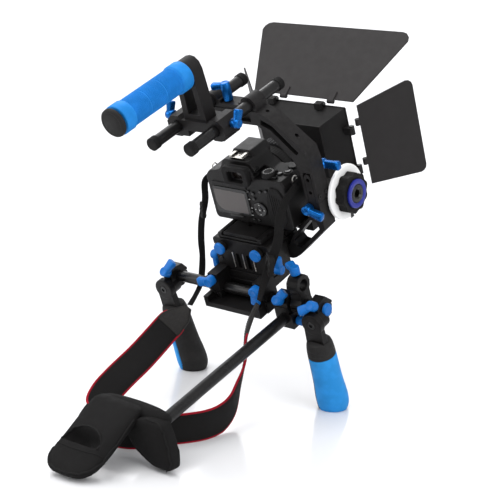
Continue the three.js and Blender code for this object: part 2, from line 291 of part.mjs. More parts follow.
// shoulder pad and neck strap are laid out level with the floor (y forward, z up, floor at -FLOOR)
const rest = new THREE.Group(); rest.name = 'rest_frame'; group.add(rest);
function addRest(name, m, mat) { const k = add(name, m, mat); rest.add(k); return k; }
const shear = (m, k, z0) => m.transform([1, 0, 0, 0, 0, 1, 0, 0, k, 0, 1, 0, -k * z0, 0, 0, 1]);
const rodRest = cyl('y', 0, 0, 8.2, -300, 0, 20).rotate([-2.9, 0, 0]).translate([SX, 0, SZ - 0.5]).rotate([PITCH, 0, 0]);
let padM = shear(prism('x', [[-236, -72], [-250, -68], [-266, -73], [-300, -98], [-338, -124], [-347, -133], [-343, -140], [-322, -140], [-308, -131], [-280, -112], [-258, -99], [-240, -97]], -8, 72), 0.22, -90);
padM = U(padM, cyl('x', -247, -84, 15, -8, 92, 16), prism('y', [[52, -80], [90, -80], [98, -100], [107, -124], [107, -134], [101, -140], [84, -140], [72, -131], [60, -108]], -270, -238));
padM = S(padM, rodRest, box(2, 52, -326, -298, -150, -60).intersect(box(2, 52, -314, -304, -150, -60)));
addRest('shoulder_pad', padM, 'nylon');
// ribbon through points [x, y, z, wx, wy, wz, width]
function ribbon(rows, t, seg) {
  const P = new THREE.CatmullRomCurve3(rows.map(r => new THREE.Vector3(r[0], r[1], r[2])), false, 'centripetal');
  const v = [], idx = []; const n = rows.length - 1;
  for (let i = 0; i <= n * seg; i++) {
    const u = i / (n * seg), k = Math.min(n - 1, Math.floor(u * n)), f = u * n - k, a = rows[k], b = rows[k + 1];
    const c = P.getPoint(u), T = P.getTangent(u);
    const W = new THREE.Vector3(a[3] + (b[3] - a[3]) * f, a[4] + (b[4] - a[4]) * f, a[5] + (b[5] - a[5]) * f);
    W.addScaledVector(T, -W.dot(T)).normalize(); const N = T.clone().cross(W).normalize();
    const w = (a[6] + (b[6] - a[6]) * f) / 2, h = t / 2;
    for (const [p, q] of [[-w, -h], [w, -h], [w, h], [-w, h]]) { const o = c.clone().addScaledVector(W, p).addScaledVector(N, q); v.push(o.x, o.y, o.z); }
    if (i) { const o = (i - 1) * 4; for (let j = 0; j < 4; j++) { const j2 = (j + 1) % 4; idx.push(o + j, o + j2, o + 4 + j2, o + j, o + 4 + j2, o + 4 + j); } }
  }
  const e = n * seg * 4; idx.push(0, 2, 1, 0, 3, 2, e, e + 1, e + 2, e, e + 2, e + 3);
  const g = new THREE.BufferGeometry(); g.setAttribute('position', new THREE.BufferAttribute(new Float32Array(v), 3)); g.setIndex(idx);
  const m = toM(g); return m.volume() < 0 ? toM(flip(g)) : m;
}
const STRAP_LEFT = [[-63.8, 11, 151, 0.1, 0.95, 0, 9], [-67, 9, 146, 0.2, 0.9, 0, 9], [-73, 6, 136, 0.6, 0.8, 0, 9], [-75, 8, 110, 0.77, 0.64, 0, 9], [-85, 12, 80, 0.77, 0.64, 0, 9], [-89, 15, 52, 0.77, 0.64, 0, 9],
  [-88, 16, 30, 0.3, 0.95, 0, 9], [-88, 15, 8, 0.77, 0.64, 0, 9], [-85, 8, -9, 0.95, 0.2, 0, 8], [-82, -6, -21, 0.95, 0, 0, 8], [-81, -18, -31, 0.95, 0, 0, 9]];
const STRAP_WIDE = [[-81, -22, -34, -0.85, -0.2, 0.3, 12], [-82, -36, -42, -0.75, -0.3, 0.5, 30], [-84, -52, -49, -0.67, -0.32, 0.67, 38], [-79, -90, -64, -0.67, -0.32, 0.67, 38], [-72, -125, -75, -0.67, -0.32, 0.67, 38], [-64, -172, -88, -0.67, -0.32, 0.67, 38],
  [-59, -202, -99, -0.6, -0.3, 0.7, 38], [-50, -226, -111, -0.45, -0.2, 0.85, 38], [-34, -240, -119, -0.15, 0, 0.95, 38], [-10, -246, -120.7, 0, 0, 1, 38], [16, -240, -120.7, 0, 0, 1, 38], [34, -222, -120.7, 0, 0, 1, 38],
  [46, -200, -120.7, 0, 0, 1, 38], [60, -180, -120.7, 0, 0, 1, 38], [70, -158, -120.7, 0, 0, 1, 38], [73, -134, -119, 0, -0.2, 0.95, 38], [69, -108, -111, 0.2, -0.5, 0.8, 38], [61, -86, -93, 0.45, -0.7, 0.4, 38],
  [55, -66, -66, 0.6, -0.75, 0, 38], [49, -57, -38, 0.6, -0.75, 0, 30], [54, -50, -10, 0.7, -0.6, 0, 14], [60, -47.5, 4, 0.75, -0.4, 0, 9]];
const STRAP_RIGHT = [[61.5, -46.5, 9, 0.75, -0.2, 0, 8], [65, -44, 25, 0.77, 0.2, 0, 9], [70, -42, 42, 0.77, 0.5, 0, 11], [75, -40, 58, 0.77, 0.64, 0, 12], [83, -36, 88, 0.77, 0.64, 0, 12], [81, -30, 114, 0.77, 0.64, 0, 11],
  [79, -17, 133, 0.6, 0.8, 0, 9], [78.4, -2, 144, 0.3, 0.95, 0, 9], [77.4, 9, 150.5, 0.1, 0.95, 0, 9]];
addRest('strap_left', U(ribbon(STRAP_LEFT, 1.8, 3), toM(new THREE.BoxGeometry(13, 6.5, 22).rotateZ(-0.55).translate(-80.5, 9.7, 95))), 'web');
addRest('strap_band', ribbon(STRAP_WIDE, 3, 3), 'nylon');
addRest('strap_right', U(ribbon(STRAP_RIGHT, 1.8, 3), toM(new THREE.BoxGeometry(20, 7, 26).rotateY(0.2).rotateZ(-0.64).translate(74, -40.5, 57))), 'web');

// ---- rest pose: nose up, floor at z = 0, origin under the bounding box centre ----
rig.rotation.x = CA;
group.updateMatrixWorld(true);
const bb = new THREE.Box3();
for (const m of [...rig.children, ...rest.children]) { const p = m.geometry.attributes.position, v = new THREE.Vector3(); for (let i = 0; i < p.count; i++) { v.fromBufferAttribute(p, i).applyMatrix4(m.parent.matrixWorld); bb.expandByPoint(v); } }
group.userData.box = [bb.min.toArray(), bb.max.toArray()];
for (const f of [rig, rest]) f.position.set(-(bb.min.x + bb.max.x) / 2, -(bb.min.y + bb.max.y) / 2, -bb.min.z);
group.updateMatrixWorld(true);

export default group;
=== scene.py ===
import bpy
import bmesh
import math
import json
import random
from mathutils import Vector, Matrix, Quaternion
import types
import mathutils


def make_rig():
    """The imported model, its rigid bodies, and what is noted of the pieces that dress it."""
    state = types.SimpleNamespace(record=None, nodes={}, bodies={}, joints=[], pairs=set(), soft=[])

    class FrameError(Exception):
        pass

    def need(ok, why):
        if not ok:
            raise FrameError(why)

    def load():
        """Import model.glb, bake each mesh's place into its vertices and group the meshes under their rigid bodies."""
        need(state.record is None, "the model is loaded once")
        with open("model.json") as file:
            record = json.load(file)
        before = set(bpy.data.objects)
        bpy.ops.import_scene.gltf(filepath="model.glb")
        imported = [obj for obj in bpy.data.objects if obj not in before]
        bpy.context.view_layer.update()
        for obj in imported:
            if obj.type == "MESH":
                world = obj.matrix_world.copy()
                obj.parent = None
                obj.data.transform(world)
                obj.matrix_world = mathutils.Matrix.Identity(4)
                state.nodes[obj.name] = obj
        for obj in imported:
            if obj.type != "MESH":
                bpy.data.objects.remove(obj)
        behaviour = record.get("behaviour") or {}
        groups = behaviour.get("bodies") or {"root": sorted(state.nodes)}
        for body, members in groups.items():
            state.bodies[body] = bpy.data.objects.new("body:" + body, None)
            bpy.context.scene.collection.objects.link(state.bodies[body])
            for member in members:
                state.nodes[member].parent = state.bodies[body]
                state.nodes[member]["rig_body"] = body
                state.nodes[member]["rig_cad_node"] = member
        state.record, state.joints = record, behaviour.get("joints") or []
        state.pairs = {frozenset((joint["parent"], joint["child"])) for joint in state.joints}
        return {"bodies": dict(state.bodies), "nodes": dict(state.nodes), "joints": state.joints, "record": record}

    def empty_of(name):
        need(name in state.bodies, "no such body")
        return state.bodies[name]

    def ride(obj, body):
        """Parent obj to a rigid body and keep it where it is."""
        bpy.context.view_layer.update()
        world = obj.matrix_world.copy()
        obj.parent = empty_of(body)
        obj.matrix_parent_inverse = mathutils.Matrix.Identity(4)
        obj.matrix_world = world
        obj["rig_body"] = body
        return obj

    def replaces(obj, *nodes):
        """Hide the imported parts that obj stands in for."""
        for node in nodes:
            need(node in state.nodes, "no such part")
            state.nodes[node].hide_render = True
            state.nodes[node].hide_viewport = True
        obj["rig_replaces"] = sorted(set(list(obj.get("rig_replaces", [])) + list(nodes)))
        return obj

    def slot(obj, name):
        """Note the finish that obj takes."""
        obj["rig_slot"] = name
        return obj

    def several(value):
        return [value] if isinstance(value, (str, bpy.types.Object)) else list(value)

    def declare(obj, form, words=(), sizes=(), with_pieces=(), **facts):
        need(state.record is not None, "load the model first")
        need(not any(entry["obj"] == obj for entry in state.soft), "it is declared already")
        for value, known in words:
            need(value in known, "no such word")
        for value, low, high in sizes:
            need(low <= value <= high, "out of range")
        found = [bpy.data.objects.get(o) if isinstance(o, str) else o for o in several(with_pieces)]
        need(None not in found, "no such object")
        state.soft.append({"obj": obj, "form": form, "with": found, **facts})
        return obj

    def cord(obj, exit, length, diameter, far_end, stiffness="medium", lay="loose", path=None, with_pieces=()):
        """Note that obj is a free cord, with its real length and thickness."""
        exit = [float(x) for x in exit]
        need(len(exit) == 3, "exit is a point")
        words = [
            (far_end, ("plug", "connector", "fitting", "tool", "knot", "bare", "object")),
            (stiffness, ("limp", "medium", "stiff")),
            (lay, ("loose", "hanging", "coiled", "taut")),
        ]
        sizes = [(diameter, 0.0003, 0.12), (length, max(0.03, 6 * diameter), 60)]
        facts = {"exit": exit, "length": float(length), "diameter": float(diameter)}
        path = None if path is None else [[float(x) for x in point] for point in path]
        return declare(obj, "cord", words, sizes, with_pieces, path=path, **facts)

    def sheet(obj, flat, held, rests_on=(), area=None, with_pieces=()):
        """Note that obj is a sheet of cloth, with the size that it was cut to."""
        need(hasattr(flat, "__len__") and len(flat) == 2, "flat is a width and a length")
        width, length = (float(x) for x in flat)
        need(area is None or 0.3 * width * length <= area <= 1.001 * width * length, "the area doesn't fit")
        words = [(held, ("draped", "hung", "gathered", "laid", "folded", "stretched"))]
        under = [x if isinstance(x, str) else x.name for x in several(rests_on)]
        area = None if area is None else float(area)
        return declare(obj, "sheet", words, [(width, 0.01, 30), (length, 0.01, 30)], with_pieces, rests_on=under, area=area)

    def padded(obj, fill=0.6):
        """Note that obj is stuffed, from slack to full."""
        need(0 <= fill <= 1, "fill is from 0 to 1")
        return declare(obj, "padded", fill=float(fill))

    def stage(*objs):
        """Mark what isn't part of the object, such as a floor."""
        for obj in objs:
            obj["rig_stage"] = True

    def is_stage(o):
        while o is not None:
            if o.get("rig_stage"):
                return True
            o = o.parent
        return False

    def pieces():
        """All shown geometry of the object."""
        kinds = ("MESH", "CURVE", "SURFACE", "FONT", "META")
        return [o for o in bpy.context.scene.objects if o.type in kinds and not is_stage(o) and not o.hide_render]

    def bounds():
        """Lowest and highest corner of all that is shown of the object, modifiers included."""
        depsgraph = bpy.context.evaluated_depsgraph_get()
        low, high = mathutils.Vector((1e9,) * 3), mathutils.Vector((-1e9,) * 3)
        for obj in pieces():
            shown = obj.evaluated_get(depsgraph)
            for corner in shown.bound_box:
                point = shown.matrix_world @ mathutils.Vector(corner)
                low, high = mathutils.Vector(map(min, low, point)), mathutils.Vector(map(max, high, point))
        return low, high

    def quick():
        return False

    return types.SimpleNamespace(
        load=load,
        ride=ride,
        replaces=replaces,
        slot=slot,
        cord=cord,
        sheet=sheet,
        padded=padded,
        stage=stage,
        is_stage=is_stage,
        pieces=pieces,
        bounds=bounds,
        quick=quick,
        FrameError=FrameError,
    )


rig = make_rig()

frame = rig.load()
CAD_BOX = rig.bounds()
NODES = frame["nodes"]
random.seed(7)

# ---------------------------------------------------------------- frames
# rig frame: mm, z up from the transverse rod, y along the lens; it stands nose-up by 20 degrees
# rest frame: mm, level with the floor
PITCH = math.radians(20)
OFF = Vector((-0.288, 59.225, 140.0)) / 1000
RIG = Matrix.Translation(OFF) @ Matrix.Rotation(PITCH, 4, 'X') @ Matrix.Scale(.001, 4)
REST = Matrix.Translation(OFF) @ Matrix.Scale(.001, 4)


def rp(x, y, z):
    return RIG @ Vector((x, y, z))


# ---------------------------------------------------------------- camera
cam_data = bpy.data.cameras.new("view_camera")
cam_data.lens = 99.4
cam_data.sensor_width = 36
cam = bpy.data.objects.new("view_camera", cam_data)
bpy.context.scene.collection.objects.link(cam)
cam.location = (1.10780, -1.27458, 0.64985)
cam.rotation_euler = (math.radians(75.3), 0, math.radians(39.5))
bpy.context.scene.camera = cam


# ---------------------------------------------------------------- materials
class NM:
    def __init__(self, name, rough=.5, metal=0., spec=.5, coat=0., coat_rough=.1, sheen=0., sheen_rough=.5, ior=1.5):
        self.m = bpy.data.materials.new(name)
        self.m.use_nodes = True
        self.nt = self.m.node_tree
        self.nt.nodes.clear()
        self.out = self.nt.nodes.new("ShaderNodeOutputMaterial")
        self.b = self.nt.nodes.new("ShaderNodeBsdfPrincipled")
        self.nt.links.new(self.b.outputs[0], self.out.inputs[0])
        self.tc = self.nt.nodes.new("ShaderNodeTexCoord")
        i = self.b.inputs
        i["Roughness"].default_value = rough
        i["Metallic"].default_value = metal
        i["Specular IOR Level"].default_value = spec
        i["IOR"].default_value = ior
        i["Coat Weight"].default_value = coat
        i["Coat Roughness"].default_value = coat_rough
        i["Sheen Weight"].default_value = sheen
        i["Sheen Roughness"].default_value = sheen_rough
        self.vec = self.tc.outputs["Object"]
        self.h = None

    def n(self, kind, **k):
        x = self.nt.nodes.new(kind)
        for a, v in k.items():
            setattr(x, a, v)
        return x

    def link(self, a, b):
        self.nt.links.new(a, b)

    def mapped(self, scale=(1, 1, 1), rot=(0, 0, 0), src=None):
        mp = self.n("ShaderNodeMapping")
        mp.inputs["Scale"].default_value = scale
        mp.inputs["Rotation"].default_value = rot
        self.link(src or self.vec, mp.inputs["Vector"])
        return mp.outputs[0]

    def noise(self, scale, detail=3, rough=.55, vec=None):
        x = self.n("ShaderNodeTexNoise")
        x.inputs["Scale"].default_value = scale
        x.inputs["Detail"].default_value = detail
        x.inputs["Roughness"].default_value = rough
        self.link(vec or self.vec, x.inputs["Vector"])
        return x.outputs["Fac"]

    def voronoi(self, scale, vec=None, feature="F1", out="Distance"):
        x = self.n("ShaderNodeTexVoronoi", feature=feature)
        x.inputs["Scale"].default_value = scale
        self.link(vec or self.vec, x.inputs["Vector"])
        return x.outputs[out]

    def wave(self, scale, direction="X", vec=None, distort=0., profile="SIN"):
        x = self.n("ShaderNodeTexWave", bands_direction=direction, wave_profile=profile)
        x.inputs["Scale"].default_value = scale
        x.inputs["Distortion"].default_value = distort
        x.inputs["Detail Scale"].default_value = 1.5
        self.link(vec or self.vec, x.inputs["Vector"])
        return x.outputs["Fac"]

    def math(self, op, a, b=None, clamp=False):
        x = self.n("ShaderNodeMath", operation=op, use_clamp=clamp)
        for i, v in enumerate((a, b)):
            if v is None:
                continue
            if isinstance(v, (int, float)):
                x.inputs[i].default_value = v
            else:
                self.link(v, x.inputs[i])
        return x.outputs[0]

    def ramp(self, fac, lo, hi, a, b):
        x = self.n("ShaderNodeMapRange")
        x.inputs["From Min"].default_value = lo
        x.inputs["From Max"].default_value = hi
        x.inputs["To Min"].default_value = a
        x.inputs["To Max"].default_value = b
        self.link(fac, x.inputs["Value"])
        return x.outputs[0]

    def mix(self, fac, a, b):
        x = self.n("ShaderNodeMix", data_type="RGBA")
        self.link(fac, x.inputs[0])
        for k, v in ((6, a), (7, b)):
            if isinstance(v, (tuple, list)):
                x.inputs[k].default_value = (*v[:3], 1)
            else:
                self.link(v, x.inputs[k])
        return x.outputs[2]

    def color(self, c):
        if isinstance(c, (tuple, list)):
            self.b.inputs["Base Color"].default_value = (*c[:3], 1)
        else:
            self.link(c, self.b.inputs["Base Color"])

    def rough(self, r):
        self.link(r, self.b.inputs["Roughness"])

    def bump(self, height, dist, strength=1.):
        x = self.n("ShaderNodeBump")
        x.inputs["Distance"].default_value = dist
        x.inputs["Strength"].default_value = strength
        self.link(height, x.inputs["Height"])
        if self.h is not None:
            self.link(self.h, x.inputs["Normal"])
        self.h = x.outputs[0]
        self.link(self.h, self.b.inputs["Normal"])


def srgb(h):
    h = h.lstrip("#")
    out = []
    for k in (0, 2, 4):
        v = int(h[k:k + 2], 16) / 255
        out.append(v / 12.92 if v <= .04045 else ((v + .055) / 1.055) ** 2.4)
    return tuple(out)


def mul(c, f):
    return tuple(min(1, v * f) for v in c)


def anodised(name, c, metal=.35, r0=.38, r1=.52, grain=.00004, edge=1.6, spec=.15):
    """satin anodised or painted metal: fine sand-blast grain, slow blotches, worn lighter edges"""
    w = NM(name, metal=metal, spec=spec)
    blot = w.noise(28, 4)
    fine = w.noise(2600, 2, .7)
    col = w.mix(w.ramp(blot, .35, .65, 0, 1), mul(c, .84), mul(c, 1.16))
    geo = w.n("ShaderNodeNewGeometry")
    wear = w.math("MULTIPLY", w.ramp(geo.outputs["Pointiness"], .53, .6, 0, 1), w.ramp(w.noise(160, 4), .4, .62, 0, 1), clamp=True)
    col = w.mix(w.math("MULTIPLY", wear, .16), col, tuple(min(.75, v * edge + .02) for v in c))
    w.color(col)
    w.rough(w.math("ADD", w.ramp(blot, .3, .7, r0, r1), w.ramp(fine, .3, .7, -.04, .04)))
    w.bump(fine, grain, .6)
    return w.m


def plastic(name, c, r0=.42, r1=.5, scale=1700, depth=.00008, coat=0., var=.08, metal=0., spec=.15):
    """moulded plastic with a fine spark-eroded texture"""
    w = NM(name, coat=coat, coat_rough=.2, metal=metal, spec=spec)
    blot = w.noise(40, 3)
    w.color(w.mix(blot, mul(c, 1 - var), mul(c, 1 + var)))
    v = w.voronoi(scale)
    w.rough(w.ramp(w.noise(90, 4), .35, .65, r0, r1))
    w.bump(v, depth, .5)
    return w.m


def rubberised(name, c, r=.62, scale=900, depth=.00015, sheen=.15):
    """soft-touch rubber: pebbled grain, faint dusting"""
    w = NM(name, sheen=sheen, sheen_rough=.4, spec=.12)
    w.b.inputs["Sheen Tint"].default_value = (*mul(c, 3), 1)
    dust = w.noise(60, 5)
    w.color(w.mix(w.ramp(dust, .42, .7, 0, 1), c, tuple(min(1, v * 1.18 + .004) for v in c)))
    v = w.voronoi(scale, feature="SMOOTH_F1")
    w.rough(w.ramp(w.noise(220, 3), .3, .7, r - .07, r + .07))
    w.bump(v, depth, .6)
    return w.m


def leather(name, c, r=.6):
    w = NM(name, sheen=.03, spec=.12)
    v = w.voronoi(650, feature="SMOOTH_F1")
    cr = w.noise(300, 5, .6)
    w.color(w.mix(w.ramp(v, .1, .7, 0, 1), mul(c, .8), mul(c, 1.15)))
    w.rough(w.ramp(cr, .3, .7, r - .1, r + .08))
    w.bump(v, .00018, .7)
    w.bump(cr, .0001, .4)
    return w.m


def nylon(name, c, scale=700, depth=.0002, sheen=.35, rot=(0, 0, 0), uv=None, slub=.14):
    """woven nylon: over-and-under yarns in two directions"""
    w = NM(name, rough=.72, sheen=sheen * .3, sheen_rough=.45, spec=.08)
    w.b.inputs["Sheen Tint"].default_value = (*mul(c, 4), 1)
    src = None
    if uv:
        u = w.n("ShaderNodeUVMap")
        u.uv_map = uv
        src = u.outputs[0]
    vec = w.mapped(rot=rot, src=src)
    a = w.wave(scale, "X", vec)
    b = w.wave(scale, "Y", vec)
    yarn = w.math("ABSOLUTE", w.math("SUBTRACT", a, b))
    slubs = w.noise(scale * .25, 3, .6, vec)
    w.color(w.mix(w.math("ADD", w.math("MULTIPLY", yarn, .6), w.ramp(slubs, .4, .65, 0, slub * 2), clamp=True), mul(c, .72), mul(c, 1.25)))
    w.rough(w.ramp(slubs, .3, .7, .62, .8))
    w.bump(yarn, depth, .8)
    w.bump(w.noise(55, 4), .0006, .25)
    return w.m


def brushed(name, c, r0=.25, r1=.42, axis=(30, 30, 1800)):
    w = NM(name, metal=1.)
    s = w.noise(1, 4, .6, w.mapped(scale=axis))
    w.color(w.mix(w.ramp(s, .35, .65, 0, 1), mul(c, .85), mul(c, 1.1)))
    w.rough(w.ramp(s, .3, .7, r0, r1))
    w.bump(s, .00003, .4)
    return w.m


M = {}
M["black"] = anodised("black_anodised", (.0062, .0056, .0056), metal=.1, r0=.34, r1=.46)
M["charcoal"] = anodised("charcoal_anodised", (.0115, .0105, .0105), metal=.1, r0=.42, r1=.54)
M["rod"] = anodised("rod_black", (.006, .0056, .0056), metal=.15, r0=.24, r1=.34, spec=.35)
M["blue_plastic"] = plastic("blue_moulded", mul(srgb("1268b8"), .95), r0=.36, r1=.46, depth=.00006, coat=.08)
M["anod_blue"] = anodised("blue_anodised_metal", mul(srgb("1767b4"), .8), metal=.8, r0=.2, r1=.32, edge=1.8)
M["grip_blue"] = rubberised("blue_rubber_ribbed", mul(srgb("1f82d2"), .85), r=.5, scale=1500, depth=.00008, sheen=.03)
M["panel_blue"] = rubberised("blue_rubber_panel", mul(srgb("2a8fd9"), .9), r=.5, scale=1100, depth=.00012, sheen=.03)
M["grey_rubber"] = rubberised("dark_grey_rubber", (.0185, .0178, .0175), r=.62, scale=1000, depth=.00014, sheen=.06)
M["black_rubber"] = rubberised("black_rubber", (.0072, .0068, .0068), r=.6, scale=1200, depth=.00012, sheen=.05)
M["body"] = plastic("camera_shell", (.0072, .0066, .0066), r0=.36, r1=.46, scale=2200, depth=.00008, coat=.05)
M["body_grip"] = leather("camera_grip_leatherette", (.007, .0066, .0066), .55)
M["gloss_black"] = plastic("gloss_black", (.008, .008, .008), r0=.12, r1=.2, scale=2500, depth=.00001, coat=.4)
M["screen"] = plastic("screen_glass", srgb("575352"), r0=.16, r1=.24, scale=800, depth=.000005, coat=.15, var=.05)
M["steel"] = brushed("bright_steel", (.62, .6, .56))
M["dark_steel"] = brushed("dark_steel", (.05, .05, .05), r0=.3, r1=.45)
M["white_mark"] = plastic("pale_marks", (.55, .55, .54), r0=.4, r1=.5)
M["disc_white"] = plastic("white_marking_disc", (.88, .88, .87), r0=.3, r1=.4, depth=.00002, var=.02, coat=.2)
# the flags are one charcoal plastic: the lighter copy is painted light on the top flag, the darker copy is painted
# shade on the side flags
M["flag"] = plastic("flag_charcoal", srgb("2f2d2d"), r0=.55, r1=.66, scale=1300, depth=.00012)
M["flag_painted_shade"] = plastic("flag_charcoal_painted_shade", srgb("292727"), r0=.5, r1=.62, scale=1300, depth=.00012)
M["hood"] = plastic("hood_black", (.0105, .0098, .0098), r0=.5, r1=.6, scale=1300, depth=.00012)
M["ring_blue"] = plastic("violet_blue_ring", srgb("222a86"), r0=.28, r1=.36, depth=.00003, coat=.3)
M["acetal"] = plastic("acetal_gear", (.03, .03, .031), r0=.35, r1=.45)
M["nylon"] = nylon("black_ballistic_nylon", (.0108, .0103, .0103), scale=420, depth=.00025)
M["webbing"] = nylon("black_webbing", (.0115, .011, .011), scale=520, depth=.0003, uv="weave")
M["band"] = nylon("strap_band_weave", (.013, .0124, .0124), scale=330, depth=.00025, uv="weave", sheen=.25)
M["piping"] = nylon("dark_red_piping", srgb("a3182a"), scale=900, depth=.00015, sheen=.2, slub=.05)
M["strap_leather"] = leather("strap_end_leather", (.024, .0225, .0215), .6)
M["binding"] = nylon("black_binding", (.015, .0145, .0145), scale=900, depth=.00015)
M["glass"] = plastic("finder_glass", (.01, .007, .006), r0=.06, r1=.1, scale=600, depth=.000003, coat=.6)


# ---------------------------------------------------------------- mesh tools (all in mm, returned as (verts, faces))
def merge(*parts):
    v, f = [], []
    for pv, pf in parts:
        o = len(v)
        v += [tuple(p) for p in pv]
        f += [[i + o for i in q] for q in pf]
    return v, f


def moved(part, m):
    return [tuple(m @ Vector(p)) for p in part[0]], part[1]


def ax(a, p, q, r):
    """point with coordinate r along axis a and (p, q) in the other two"""
    return {"x": (r, p, q), "y": (p, r, q), "z": (p, q, r)}[a]


def lathe(prof, axis="z", c=(0, 0), n=48, a0=0.):
    """prof: (radius, along). Closed solid of revolution; ends on the axis get a pole"""
    v, f, rings = [], [], []
    for r, a in prof:
        if r < 1e-6:
            rings.append([len(v)])
            v.append(ax(axis, c[0], c[1], a))
        else:
            rings.append(list(range(len(v), len(v) + n)))
            for i in range(n):
                t = a0 + 2 * math.pi * i / n
                v.append(ax(axis, c[0] + r * math.cos(t), c[1] + r * math.sin(t), a))
    closed = len(rings[0]) > 1
    pairs = list(zip(rings, rings[1:])) + ([(rings[-1], rings[0])] if closed else [])
    for A, B in pairs:
        for i in range(n):
            j = (i + 1) % n
            if len(A) == 1 and len(B) == 1:
                continue
            if len(A) == 1:
                f.append([A[0], B[j], B[i]])
            elif len(B) == 1:
                f.append([A[i], A[j], B[0]])
            else:
                f.append([A[i], A[j], B[j], B[i]])
    return v, f


def prism(axis, pts, a0, a1):
    n = len(pts)
    v = [ax(axis, p[0], p[1], a0) for p in pts] + [ax(axis, p[0], p[1], a1) for p in pts]
    f = [[i, (i + 1) % n, n + (i + 1) % n, n + i] for i in range(n)]
    f += [list(range(n))[::-1], list(range(n, 2 * n))]
    return v, f


def box(x0, x1, y0, y1, z0, z1):
    return prism("z", [(x0, y0), (x1, y0), (x1, y1), (x0, y1)], z0, z1)


def circle(cx, cy, r, n=32, a0=0.):
    return [(cx + r * math.cos(a0 + 2 * math.pi * i / n), cy + r * math.sin(a0 + 2 * math.pi * i / n)) for i in range(n)]


def rrect(x0, x1, y0, y1, r, k=5):
    o = []
    for cx, cy, a in ((x1 - r, y0 + r, -90), (x1 - r, y1 - r, 0), (x0 + r, y1 - r, 90), (x0 + r, y0 + r, 180)):
        for i in range(k + 1):
            t = math.radians(a + 90 * i / k)
            o.append((cx + r * math.cos(t), cy + r * math.sin(t)))
    return o


def loft(rings, cap=True, closed=False):
    n = len(rings[0])
    v = [tuple(p) for r in rings for p in r]
    f = []
    for k in range(len(rings) - (0 if closed else 1)):
        a, b = k * n, ((k + 1) % len(rings)) * n
        for i in range(n):
            j = (i + 1) % n
            f.append([a + i, a + j, b + j, b + i])
    if cap and not closed:
        f.append(list(range(n))[::-1])
        f.append(list(range(len(v) - n, len(v))))
    return v, f


def tube(path, r, n=8, closed=False, taper=None):
    """round tube along points, by parallel transport"""
    P = [Vector(p) for p in path]
    m = len(P)
    T = []
    for i in range(m):
        a = P[(i - 1) % m] if closed or i else P[i]
        b = P[(i + 1) % m] if closed or i < m - 1 else P[i]
        T.append((b - a).normalized())
    up = Vector((0, 0, 1)) if abs(T[0].z) < .9 else Vector((1, 0, 0))
    N = (up - T[0] * up.dot(T[0])).normalized()
    rings = []
    for i in range(m):
        N = (N - T[i] * N.dot(T[i])).normalized()
        B = T[i].cross(N)
        rr = r * (taper[i] if taper else 1)
        rings.append([tuple(P[i] + (N * math.cos(t) + B * math.sin(t)) * rr) for t in (2 * math.pi * k / n for k in range(n))])
    return loft(rings, closed=closed)


def seat_matrix(seat, direction, roll):
    d = Vector(direction).normalized()
    q = Vector((0, 0, 1)).rotation_difference(d)
    return Matrix.Translation(Vector(seat)) @ (q @ Quaternion((0, 0, 1), math.radians(roll))).to_matrix().to_4x4()


def place(part, seat, direction, roll=0):
    return moved(part, seat_matrix(seat, direction, roll))


def put(name, part, mat, body, slot=None, bevel=0., seg=2, repl=(), angle=32, space=None, sub=0, limit=34, uv=None, declare=None):
    """makes the piece in the row frame and lets it ride on its body"""
    me = bpy.data.meshes.new(name)
    v, f = part
    m = RIG if space is None else space
    me.from_pydata([tuple(m @ Vector(p)) for p in v], [], f)
    me.update()
    bm = bmesh.new()
    bm.from_mesh(me)
    bmesh.ops.recalc_face_normals(bm, faces=bm.faces)
    bm.to_mesh(me)
    bm.free()
    ob = bpy.data.objects.new(name, me)
    bpy.context.scene.collection.objects.link(ob)
    me.materials.append(M[mat] if isinstance(mat, str) else mat)
    if uv is not None:
        lay = me.uv_layers.new(name="weave")
        for p in me.polygons:
            for li in p.loop_indices:
                lay.data[li].uv = uv[me.loops[li].vertex_index]
    me.polygons.foreach_set("use_smooth", [True] * len(me.polygons))
    if bevel:
        b = ob.modifiers.new("soft_edges", "BEVEL")
        b.width = bevel / 1000
        b.segments = seg
        b.limit_method = "ANGLE"
        b.angle_limit = math.radians(limit)
        w = ob.modifiers.new("flat_faces", "WEIGHTED_NORMAL")
        w.keep_sharp = True
    else:
        me.set_sharp_from_angle(angle=math.radians(angle))
    if sub:
        s = ob.modifiers.new("smooth", "SUBSURF")
        s.levels = s.render_levels = sub
    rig.ride(ob, body)
    if slot:
        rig.slot(ob, slot)
    if repl:
        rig.replaces(ob, *([repl] if isinstance(repl, str) else repl))
    return ob


def cad(node, mat, bevel=.5, seg=2, limit=34):
    """a CAD node that stays: its flat facets are joined, its edges softened and its faces shaded smooth"""
    o = NODES[node]
    me = o.data
    with bpy.context.temp_override(object=o, active_object=o, selected_objects=[o]):
        try:
            bpy.ops.mesh.customdata_custom_splitnormals_clear()
        except RuntimeError:
            pass
    me.materials.clear()
    me.materials.append(M[mat])
    me.polygons.foreach_set("use_smooth", [True] * len(me.polygons))
    for nme in ("sharp_edge", "sharp_face"):
        if nme in me.attributes:
            me.attributes.remove(me.attributes[nme])
    w = o.modifiers.new("weld", "WELD")
    w.merge_threshold = .00001
    d = o.modifiers.new("planar", "DECIMATE")
    d.decimate_type = "DISSOLVE"
    d.angle_limit = math.radians(.6)
    if bevel:
        b = o.modifiers.new("soft_edges", "BEVEL")
        b.width = bevel / 1000
        b.segments = seg
        b.limit_method = "ANGLE"
        b.angle_limit = math.radians(limit)
    n = o.modifiers.new("flat_faces", "WEIGHTED_NORMAL")
    n.keep_sharp = True
    return o


